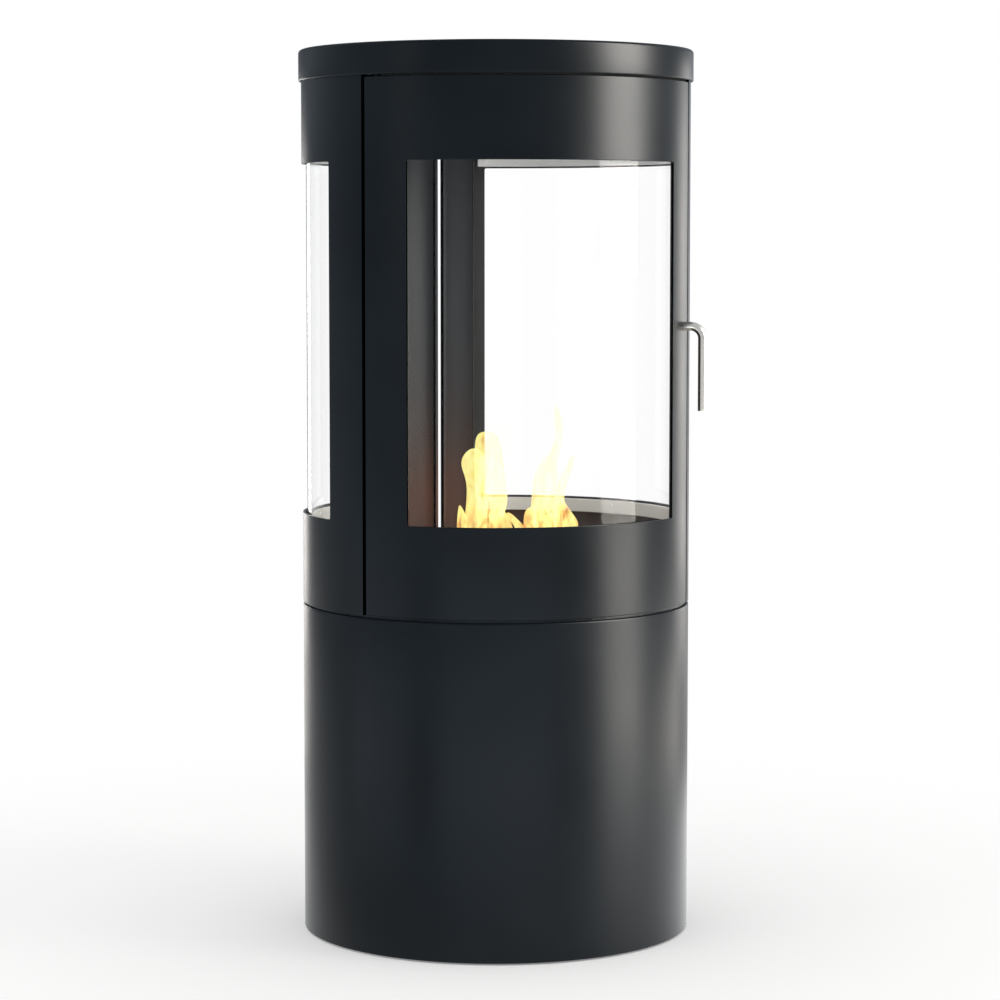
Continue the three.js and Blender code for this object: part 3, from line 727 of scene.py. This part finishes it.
windows = {
    "door": ("door", -DOOR_WINDOW, DOOR_WINDOW),
    "right": ("root", *SIDE_WINDOW),
    "left": ("root", -SIDE_WINDOW[1], -SIDE_WINDOW[0]),
}
cad_names = {
    "door": ("door_glass", "door_gasket", "door_clamp_bottom", "door_clamp_top"),
    "right": ("glass_right", "glass_gasket_right", "glass_clamp_right_bottom", "glass_clamp_right_top"),
    "left": ("glass_left", "glass_gasket_left", "glass_clamp_left_bottom", "glass_clamp_left_top"),
}
for side, (body, start, end) in windows.items():
    glass_node, tape_node, low_node, high_node = cad_names[side]
    glazing = finish_piece(f"pane_{side}", pane(start, end), body, pane_glass, [glass_node])
    refinish(glazing, pane_edge, faces_along)
    finish_piece(f"tape_{side}", tape_frame(start, end), body, fibre_tape, [tape_node])
    foot_high = pane_low - TOUCH
    bm = clamp_strip(start, end, window_low - CLAMP_SETBACK, foot_high - CLAMP_FOOT, foot_high)
    finish_piece(f"strip_low_{side}", bm, body, blasted_strip, [low_node], 0.3 * MM)
    foot_low = pane_high + TOUCH
    bm = clamp_strip(start, end, window_high + CLAMP_SETBACK, foot_low, foot_low + CLAMP_FOOT)
    finish_piece(f"strip_high_{side}", bm, body, blasted_strip, [high_node], 0.3 * MM)


# %% [markdown]
# Small cheese-head screws hold each strip to the sheet, three along each window. They are plain short cylinders with a
# rounded edge, in one piece for each moving part.

# %% Clamp screws
SCREW_COUNT = 3
SCREW_RADIUS = 2.6 * MM
SCREW_HEAD = 1.6 * MM
SCREW_FROM_EDGE = 6 * MM


def screw_row(bm, start, end, height):
    for index in range(SCREW_COUNT):
        angle = start + (end - start) * index / (SCREW_COUNT - 1)
        middle = Matrix.Translation(at(angle, clamp_inner - SCREW_HEAD / 2, height))
        bmesh.ops.create_cone(bm, cap_ends=True, segments=20, radius1=SCREW_RADIUS, radius2=SCREW_RADIUS,
                              depth=SCREW_HEAD, matrix=middle @ facing(angle))


for body in ("door", "root"):
    bm = bmesh.new()
    for holder, start, end in windows.values():
        if holder == body:
            screw_row(bm, start, end, window_low - CLAMP_SETBACK - SCREW_FROM_EDGE)
            screw_row(bm, start, end, window_high + CLAMP_SETBACK + SCREW_FROM_EDGE)
    finish_piece(f"clamp_screws_{body}", bm, body, blasted_strip, bevel=0.4 * MM)


# %% [markdown]
# A rope of the same tape is glued under the roof pan, behind the door's upper edge. It stops the draught, and it is
# what makes the gap under the lid read as a black line. It is a small closed section, spun along the door.

# %% Door seal
SEAL_GAP = 0.5 * MM
SEAL_WIDTH = 6 * MM
SEAL_START = -53.5  # clear of the upper hinge pin
seal_low, seal_high = door_high + SEAL_GAP, roof_pan_low - 0.1 * MM
seal_outer = inner_radius - TOUCH
seal_inner = seal_outer - SEAL_WIDTH
seal = [(seal_inner, seal_low), (seal_outer, seal_low), (seal_outer, seal_high), (seal_inner, seal_high)]
bm = spun_line([*seal, seal[0]], SEAL_START, [DOOR_EDGE])
close_holes(bm)
finish_piece("door_top_seal", bm, "root", fibre_tape, bevel=0.8 * MM)

# %% [markdown]
# The upright gaps at the door's sides read as deep black lines. Each shell's stop flange carries a flat near-black
# strip without sheen, facing the door's fold: painted shade, a dark sheet put where the gap is only in shadow. The
# right one leaves the two magnets free.

# %% Side strips of painted shade
SHADE_STRIP = 2 * MM
MAGNET_CLEARANCE = 2 * MM
shade_strip_low, shade_strip_high = deck_top + MM, roof_pan_low - MM
shade_strip_depth = (inner_radius - JAMB_DEPTH, inner_radius - TOUCH)
left_across, right_across = (SHADE_STRIP - JAMB_SETBACK, -JAMB_SETBACK), (JAMB_SETBACK - SHADE_STRIP, JAMB_SETBACK)
bm = bmesh.new()
upright_strip(bm, -jamb_angle, left_across, shade_strip_depth, shade_strip_low, shade_strip_high)
here = shade_strip_low
for magnet in ("door_magnet_lower", "door_magnet_upper"):
    magnet_low, magnet_high = (corner.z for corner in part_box(magnet))
    upright_strip(bm, jamb_angle, right_across, shade_strip_depth, here, magnet_low - MAGNET_CLEARANCE)
    here = magnet_high + MAGNET_CLEARANCE
upright_strip(bm, jamb_angle, right_across, shade_strip_depth, here, shade_strip_high)
bmesh.ops.recalc_face_normals(bm, faces=bm.faces)
finish_piece("door_side_shade_strips", bm, "root", shade_strip_black, bevel=0.4 * MM)

# %% [markdown]
# The handle is a 10 mm stainless rod, bent once and cut off square. It is a circle pushed out of the door, spun a
# quarter turn round the bend's centre and pushed down. The cut end gets a small chamfer, as a filed rod has.

# %% Handle
HANDLE_ANGLE = 54.5
ROD_RADIUS = 5 * MM
BEND_RADIUS = 13.5 * MM
HANDLE_STANDOFF = 21 * MM
HANDLE_TAIL = 10 * MM
rod_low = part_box("handle_rod")[0].z
spindle_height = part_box("handle_rod")[1].z - ROD_RADIUS


def handle():
    bm = bmesh.new()
    start = inner_radius - HANDLE_TAIL
    corner = body_radius + HANDLE_STANDOFF - BEND_RADIUS
    bend_height = spindle_height - BEND_RADIUS
    ring = bmesh.ops.create_circle(bm, cap_ends=True, radius=ROD_RADIUS, segments=32)["verts"]
    bmesh.ops.transform(bm, matrix=Matrix.Translation((0, -start, spindle_height)) @ facing(0), verts=ring)
    moved = bmesh.ops.extrude_face_region(bm, geom=list(bm.faces))["geom"]
    bmesh.ops.translate(bm, verts=verts_in(moved), vec=(0, start - corner, 0))
    tip = [g for g in moved if isinstance(g, bmesh.types.BMFace)]
    rim = list(tip[0].edges) + list(tip[0].verts)
    bmesh.ops.delete(bm, geom=tip, context="FACES_ONLY")
    bend = bmesh.ops.spin(bm, geom=rim, cent=(0, -corner, bend_height), axis=(1, 0, 0), angle=math.radians(90),
                          steps=16, use_merge=False)
    last = [g for g in bend["geom_last"] if isinstance(g, bmesh.types.BMEdge)]
    down = bmesh.ops.extrude_edge_only(bm, edges=last)["geom"]
    bmesh.ops.translate(bm, verts=verts_in(down), vec=(0, 0, rod_low - bend_height))
    bmesh.ops.remove_doubles(bm, verts=bm.verts, dist=1e-6)
    close_holes(bm)
    bmesh.ops.rotate(bm, verts=bm.verts, cent=(0, 0, 0), matrix=Matrix.Rotation(math.radians(HANDLE_ANGLE), 3, "Z"))
    return bm


finish_piece("handle_bar", handle(), "door", brushed_upright, ["handle_rod"], 0.5 * MM, 2)

# %% [markdown]
# Inside, the firebox floor is a flat disc with a cut-out for the burner, a notch round the lower hinge and a notch at
# the rear slot.

# %% Firebox floor
FLOOR_CLEARANCE = 2 * MM
TANK_CORNER = 12 * MM
HINGE_NOTCH = 18 * MM
REAR_NOTCH = Vector((17 * MM, 20 * MM, 20 * MM))
floor_low, floor_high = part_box("floor_plate")
tank_low, tank_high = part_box("burner_tank")
past = Vector((0, 0, MM))  # a cut goes on past both faces


def rounded_plate(low, high, corner, segments=6):
    """A plate between two corners, its upright edges rounded."""
    bm = bmesh.new()
    block(bm, low, high)
    upright = [e for e in bm.edges if abs(e.verts[0].co.z - e.verts[1].co.z) > 1e-6]
    round_edges(bm, upright, corner, segments)
    return bm


bm = turned_piece([(0, floor_low.z), (floor_high.x, floor_low.z), (floor_high.x, floor_high.z), (0, floor_high.z)])
gap = Vector((FLOOR_CLEARANCE, FLOOR_CLEARANCE, 0))
opening_low = Vector((*(tank_low - gap).xy, floor_low.z)) - past
opening_high = Vector((*(tank_high + gap).xy, floor_high.z)) + past
bm = cut_out(bm, rounded_plate(opening_low, opening_high, TANK_CORNER))
hinge_place = Vector(frame["joints"][0]["pos_m"])
hinge_place.z = floor_low.z
notch = bmesh.new()
bmesh.ops.create_cone(notch, cap_ends=True, segments=48, radius1=HINGE_NOTCH, radius2=HINGE_NOTCH, depth=20 * MM,
                      matrix=Matrix.Translation(hinge_place))
bm = cut_out(bm, notch)
rear = bmesh.new()
rear_middle = Vector((0, floor_high.x, floor_low.z))
block(rear, rear_middle - REAR_NOTCH / 2, rear_middle + REAR_NOTCH / 2)
hearth = finish_piece("hearth_floor", cut_out(bm, rear), "root", inner_grey, ["floor_plate"], 0.4 * MM)

# %% [markdown]
# The burner is a tank with a thicker deck plate round one long slot; each is a rounded block with another one cut out.
# A slider on two rails closes the slot and puts the flame out; a small knob moves it.

# %% Burner
TANK_WALL = 2 * MM
DECK_CORNER = 20 * MM
SLOT_LENGTH = 150 * MM
SLOT_WIDTH = 45 * MM
SLOT_CORNER = 3 * MM
WICK_CORNER = 5 * MM
CUT_PAST = 5 * MM  # how far a cut goes on past the metal
deck_low, deck_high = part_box("burner_deck")
wick_low, wick_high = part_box("burner_wick")
slider_low, slider_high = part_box("slider_plate")
knob_low, knob_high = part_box("slider_knob")
slot_middle = (wick_low.y + wick_high.y) / 2
inside_low = tank_low + Vector((TANK_WALL, TANK_WALL, TANK_WALL))
inside_high = tank_high + Vector((-TANK_WALL, -TANK_WALL, CUT_PAST))
slot_half = Vector((SLOT_LENGTH / 2, SLOT_WIDTH / 2, 0))
slot_low = Vector((0, slot_middle, deck_low.z - CUT_PAST)) - slot_half
slot_high = Vector((0, slot_middle, deck_high.z + CUT_PAST)) + slot_half


def burner_piece(name, bm, replaces, bevel, body="burner", material=brushed_flat, segments=2):
    finish_piece(name, bm, body, material, [replaces], bevel, segments)


hollow = rounded_plate(inside_low, inside_high, TANK_CORNER - TANK_WALL)
bm = cut_out(rounded_plate(tank_low, tank_high, TANK_CORNER), hollow)
burner_piece("fuel_tank", bm, "burner_tank", 0.4 * MM)
bm = cut_out(rounded_plate(deck_low, deck_high, DECK_CORNER, 8), rounded_plate(slot_low, slot_high, SLOT_CORNER))
burner_piece("burner_top", bm, "burner_deck", 0.5 * MM)
bm = rounded_plate(wick_low, wick_high, WICK_CORNER)
burner_piece("fibre_block", bm, "burner_wick", 1.5 * MM, material=fibre_wick, segments=3)
bm = rounded_plate(slider_low, slider_high, 1.5 * MM, 3)
burner_piece("slider_cover", bm, "slider_plate", 0.3 * MM, body="slider")
knob_radius = (knob_high.x - knob_low.x) / 2
knob_neck = 0.7 * knob_radius
knob_middle = (knob_low + knob_high) / 2
bm = turned_piece([(0, knob_low.z), (knob_neck, knob_low.z), (knob_neck, knob_middle.z - MM),
                   (knob_radius, knob_middle.z), (knob_radius, knob_high.z), (0, knob_high.z)])
bmesh.ops.translate(bm, vec=(knob_middle.x, knob_middle.y, 0), verts=bm.verts)
burner_piece("slider_button", bm, "slider_knob", 0.8 * MM, body="slider", segments=3)

# %% [markdown]
# The hidden and small pieces keep their solids: plates, posts, bolts, hinge pins and lugs, magnets and glides. Flat
# faces and small hexagons are right as they are, and only take the finish of the real ones.

# %% Finishes for the solids that stay
FINISH_OF_SLOT = {
    "black_paint": satin_black,
    "rubber": glide_rubber,
    "inner_steel": inner_grey,
    "zinc_steel": zinc_plate,
    "stainless": brushed_flat,
    "glass": pane_glass,
    "gasket_tape": fibre_tape,
    "ceramic_fibre": fibre_wick,
    "magnet": magnet_black,
}
for subpart in frame["record"]["subparts"]:
    look = FINISH_OF_SLOT[subpart["material_slot"]]
    # The hinge pins sit in the gap under the lid. They get the black paint in place of zinc, as painted shade that
    # keeps the gap dark.
    if subpart["node"].startswith("hinge_pin"):
        look = satin_black  # blackened, so that no bright spot shows in the gap
    materials = nodes[subpart["node"]].data.materials
    materials.clear()
    materials.append(look)
print("finishes given to", len(nodes), "solids")


# %% [markdown]
# The flames stand on the slot. A tongue is drawn as a pile of ovals, each given by its height above the burner and its
# left and right edge in millimetres. Before them stand how far back the tongue is and how flat. The ovals are bridged
# into a skin and a subdivision rounds it.

# %% Flames
FLAME_SIDES = 12
VIEW_SIDE = at(VIEW_AZIMUTH + 90, 1, 0)
VIEW_DEPTH = at(VIEW_AZIMUTH + 180, 1, 0)
TONGUES = {
    "small_left": (-6, 0.7, [(0, -61, -48), (20, -62.4, -47.3), (30, -62, -49), (41, -60.8, -53.4), (48, -59.4, -58)]),
    "bulge": (0, 0.8, [(0, -52, -26), (21, -53, -25), (41, -50.6, -25.5), (67, -48.4, -26), (81, -51.8, -25),
                       (92, -56.3, -25), (101, -54.8, -27), (108, -49.5, -31.5), (111.4, -43.5, -37.5)]),
    "thumb": (4, 0.7, [(0, -35, -12), (21, -36, -11), (32, -37, -6), (53, -38, 1), (75, -39.4, -3.4), (98, -39.4, -5.7),
                       (115, -39.2, -7.9), (124, -37.7, -11.3), (128.6, -34, -15.5), (130, -29, -20)]),
    "tall": (2, 0.7, [(0, 21, 62), (21, 20.5, 63), (44, 23.5, 60.6), (64, 24.7, 58.4), (81, 26.9, 56.1),
                      (92, 32, 54.5), (101, 40, 54.7), (111, 48.2, 57.8), (123, 51.1, 60.1), (134, 51.6, 60.3),
                      (145, 50.5, 58.6), (154, 50, 55.8), (162.4, 51.2, 52.6)]),
    "fork": (-3, 0.8, [(0, 47, 64), (21, 47, 65), (44, 47.5, 61), (58, 48, 60), (70, 51.6, 62.3), (81, 56.5, 66.5),
                       (92, 60.6, 71.3), (99, 65, 71.5), (103.5, 69, 70.6)]),
    "low_right": (-8, 0.6, [(0, 57, 72), (21, 56, 74.2), (29, 57.5, 75), (37, 57.3, 69), (44, 56, 64),
                            (53, 54.5, 57.9), (57, 54.4, 55.4)]),
    "low_middle": (-6, 0.6, [(0, -25, 2), (20, -26, 3), (34, -27, -2), (41, -25, -8), (46, -21, -13.5)]),
    "lick": (-12, 0.6, [(0, 5, 18), (21, 3, 15), (28, -2, 9), (35, -7, 2), (40, -9, -4)]),
    "low_fold": (-9, 0.5, [(0, 12, 27), (20, 11, 27), (32, 12, 29), (41, 13, 29.5), (46, 18, 26)]),
    "low_tall": (-9, 0.5, [(0, 22, 50), (20, 22, 50), (33, 24, 47), (42, 27, 42), (47, 31, 36)]),
}


def tongue(bm, back, flatness, stations):
    """One closed flame from its stations: a height and two edges, in millimetres from the middle of the slot."""
    before = None
    for height, left, right in stations:
        width = (right - left) / 2 * MM
        ring = bmesh.ops.create_circle(bm, segments=FLAME_SIDES, radius=1.0)["verts"]
        middle = VIEW_SIDE * ((left + right) / 2 * MM) + Vector((0, back * MM, FLAME_FOOT + height * MM))
        middle.y += slot_middle
        for vert in ring:
            vert.co = middle + VIEW_SIDE * (vert.co.x * width) + VIEW_DEPTH * (vert.co.y * width * flatness)
        loop = [e for e in bm.edges if e.verts[0] in ring and e.verts[1] in ring]
        if before:
            bmesh.ops.bridge_loops(bm, edges=before + loop)
        before = loop
    close_holes(bm)


bm = bmesh.new()
for back, flatness, stations in TONGUES.values():
    tongue(bm, back, flatness, stations)
flames = finish_piece("flames", bm, "burner", flame, smooth=180)
rounding = flames.modifiers.new("rounding", "SUBSURF")
rounding.levels = rounding.render_levels = 2
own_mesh(flames)

# %% [markdown]
# The picture is taken from eye level, a little to the left of the stove's front and about three and a half metres
# away, with a long lens. The camera looks slightly down, and a small shift puts the stove where it belongs.

# %% Camera
DISTANCE = 3.5562
EYE_HEIGHT = 0.78792
TILT = 4.8012
FOCAL_PIXELS = 3122.15
PICTURE = 1000
SENSOR = 36.0
SHIFT = 0.0041

camera = bpy.data.objects.new("camera", bpy.data.cameras.new("camera"))
bpy.context.scene.collection.objects.link(camera)
camera.data.sensor_width = SENSOR
camera.data.lens = FOCAL_PIXELS / PICTURE * SENSOR
camera.data.shift_x = SHIFT
camera.location = at(VIEW_AZIMUTH, DISTANCE, EYE_HEIGHT)
camera.rotation_euler = (math.radians(90 - TILT), 0, math.radians(VIEW_AZIMUTH))
bpy.context.scene.camera = camera
print("camera", [round(x, 3) for x in camera.location], "lens", round(camera.data.lens, 1))

# %% [markdown]
# The studio is white all round but for a dim corner, behind the stove on the left, which keeps the drum's left side
# dark up to a thin bright rim. The camera and clear glass always see white. What is mirrored in paint and metal
# depends on where the mirrored ray goes.

# %% Studio
WORLD_LEVEL = 0.85
ROOM_LEVEL = 0.72
DIM_LEVEL = 0.32
DIM_TURN = 36
DIM_EDGE = (0.8, 0.93)
WARM_WHITE = "#fffaf3"
COOL_WHITE = "#e6f1ff"
dim_way = at(VIEW_AZIMUTH + 180 + DIM_TURN, 1.0, 0)


def studio_world():
    world = bpy.data.worlds.new("studio")
    world.use_nodes = True
    tree = world.node_tree
    tree.nodes.clear()
    path = add_node(tree, "ShaderNodeLightPath").outputs
    direction = add_node(tree, "ShaderNodeTexCoord").outputs["Generated"]
    towards = vector_maths(tree, "DOT_PRODUCT", direction, dim_way)
    room = remap(tree, towards, DIM_EDGE, (ROOM_LEVEL, DIM_LEVEL), smooth=True)
    mirrored = maths(tree, "MULTIPLY", path["Is Glossy Ray"], room)
    straight = maths(tree, "MAXIMUM", path["Is Camera Ray"], path["Is Transmission Ray"])
    plain = maths(tree, "MULTIPLY", path["Is Diffuse Ray"], WORLD_LEVEL)
    level = maths(tree, "MAXIMUM", maths(tree, "MAXIMUM", mirrored, straight), plain)
    only_mirrored = maths(tree, "SUBTRACT", path["Is Glossy Ray"], straight, clamp=True)
    colour = add_node(tree, "ShaderNodeMix", {"data_type": "RGBA"}, {
        0: only_mirrored, 6: (1, 1, 1, 1), 7: linear(COOL_WHITE)})
    background = add_node(tree, "ShaderNodeBackground", inputs={"Color": colour.outputs[2], "Strength": level})
    output = add_node(tree, "ShaderNodeOutputWorld")
    tree.links.new(background.outputs["Background"], output.inputs["Surface"])
    bpy.context.scene.world = world


def soft_lamp(name, angle, distance, height, width, tall, watts, colour=WARM_WHITE, only_mirrored=False):
    light = bpy.data.lights.new(name, "AREA")
    light.shape = "RECTANGLE"
    light.size = width
    light.size_y = tall
    light.energy = watts
    light.color = linear(colour)[:3]
    lamp = bpy.data.objects.new(name, light)
    bpy.context.scene.collection.objects.link(lamp)
    lamp.location = at(angle, distance, height)
    aim = Vector((0, 0, height)) - lamp.location
    lamp.rotation_euler = aim.to_track_quat("-Z", "Y").to_euler()
    lamp.visible_camera = lamp.visible_transmission = False
    lamp.visible_diffuse = not only_mirrored


studio_world()
soft_lamp("lamp_right", 50, 2.4, 1.5, 1.0, 1.4, 10)
soft_lamp("lamp_left", -70, 2.6, 1.3, 0.8, 1.2, 4)

# %% [markdown]
# The other lamps and cards are only mirrored, so each one draws one sheen or rim on the drum and lights nothing else.
# A row says: degrees round from the camera, distance, height, width, height of the card, watts and colour.

# %% Mirrored cards
CARDS = {
    "softbox_for_sheen": (76, 2.2, 1.62, 1.1, 1.8, 280, WARM_WHITE),
    "softbox_low": (76, 2.2, 0.25, 1.0, 0.45, 38, WARM_WHITE),
    "card_low_front": (0, 1.3, 0.12, 1.6, 0.22, 5.0, COOL_WHITE),
    "card_low_side": (-66, 1.3, 0.14, 0.9, 0.26, 1.7, COOL_WHITE),
    "card_low_right": (96, 1.15, 0.12, 1.5, 0.22, 4.4, WARM_WHITE),
    "card_low_left": (-150, 1.2, 0.12, 0.5, 0.22, 0.5, WARM_WHITE),
    "card_high_left": (-122, 2.2, 1.3, 1.2, 0.8, 1.6, COOL_WHITE),
    "rim_strip_left": (-154, 2.8, 0.5, 0.4, 0.9, 8, WARM_WHITE),
    "rim_strip_right": (140, 2.8, 0.6, 0.7, 1.0, 12, WARM_WHITE),
}
for name, (turn, *rest) in CARDS.items():
    soft_lamp(name, VIEW_AZIMUTH + turn, *rest, only_mirrored=True)

# %% [markdown]
# The floor is a round pale sheet. Near the stove it is matt and keeps the soft shadow. Further out it turns into plain
# white, so that no horizon shows behind the glass.

# %% Floor
FLOOR_RADIUS = 5.5
FLOOR_MATT = 0.7
FLOOR_OWN_LIGHT = 0.2
FLOOR_MIRRORED = (0.25, 2.2)  # on the left and on the right of the stove, as paint and metal see it
LEFT_TO_RIGHT = (-0.45, 0.35)
light_side = at(VIEW_AZIMUTH + 115, 1.0, 0)


def floor_material():
    material, tree = new_material("studio_floor_pale")
    path = add_node(tree, "ShaderNodeLightPath").outputs
    seen = maths(tree, "MAXIMUM", path["Is Camera Ray"], path["Is Transmission Ray"])
    lit = remap(tree, vector_maths(tree, "DOT_PRODUCT", place(tree), light_side), LEFT_TO_RIGHT, FLOOR_MIRRORED)
    mirrored = maths(tree, "MULTIPLY", path["Is Glossy Ray"], lit)
    own = maths(tree, "MAXIMUM", maths(tree, "MULTIPLY", seen, FLOOR_OWN_LIGHT), mirrored)
    paint = principled(tree, {
        "Base Color": (0.9, 0.9, 0.9, 1), "Roughness": 0.9, "Specular IOR Level": 0.0,
        "Emission Color": (1, 1, 1, 1), "Emission Strength": own})
    white = add_node(tree, "ShaderNodeEmission", inputs={"Color": (1, 1, 1, 1), "Strength": 1.0})
    reach = vector_maths(tree, "LENGTH", place(tree))
    blend = remap(tree, reach, (FLOOR_MATT, 2 * FLOOR_MATT), (0, 1), smooth=True)
    mix = add_node(tree, "ShaderNodeMixShader", inputs={0: blend, 1: paint, 2: white.outputs["Emission"]})
    end_material(tree, mix.outputs["Shader"])
    return material


bm = bmesh.new()
bmesh.ops.create_circle(bm, cap_ends=True, segments=96, radius=FLOOR_RADIUS)
ground = as_object("studio_floor", bm)
ground.data.materials.append(floor_material())

# %% [markdown]
# The flame itself is too small to light the steel round it as a real fire does, so a small warm lamp stands in it.
# It lights only the sheets behind the fire and the floor under it.

# %% Fire glow
GLOW_WATTS = 0.35
GLOW_SIZE = 30 * MM
GLOW_FROM_WALL = 80 * MM
glow = bpy.data.lights.new("fire_glow", "POINT")
glow.energy = GLOW_WATTS
glow.color = linear("#ff8a40")[:3]
glow.shadow_soft_size = GLOW_SIZE
glow_lamp = bpy.data.objects.new("fire_glow", glow)
bpy.context.scene.collection.objects.link(glow_lamp)
glow_lamp.location = (0, inner_radius - GLOW_FROM_WALL, FLAME_FOOT + GLOW_SIZE)
glow_lamp.visible_camera = glow_lamp.visible_transmission = glow_lamp.visible_glossy = False
warmed = bpy.data.collections.new("warmed_by_the_fire")
for piece in (right_half, left_half, hearth):
    warmed.objects.link(piece)
glow_lamp.light_linking.receiver_collection = warmed

# %% [markdown]
# Last, the view transform. The box of the dressed model has to stay inside the box of the imported one.

# %% Close
bpy.context.scene.view_settings.view_transform = "Standard"
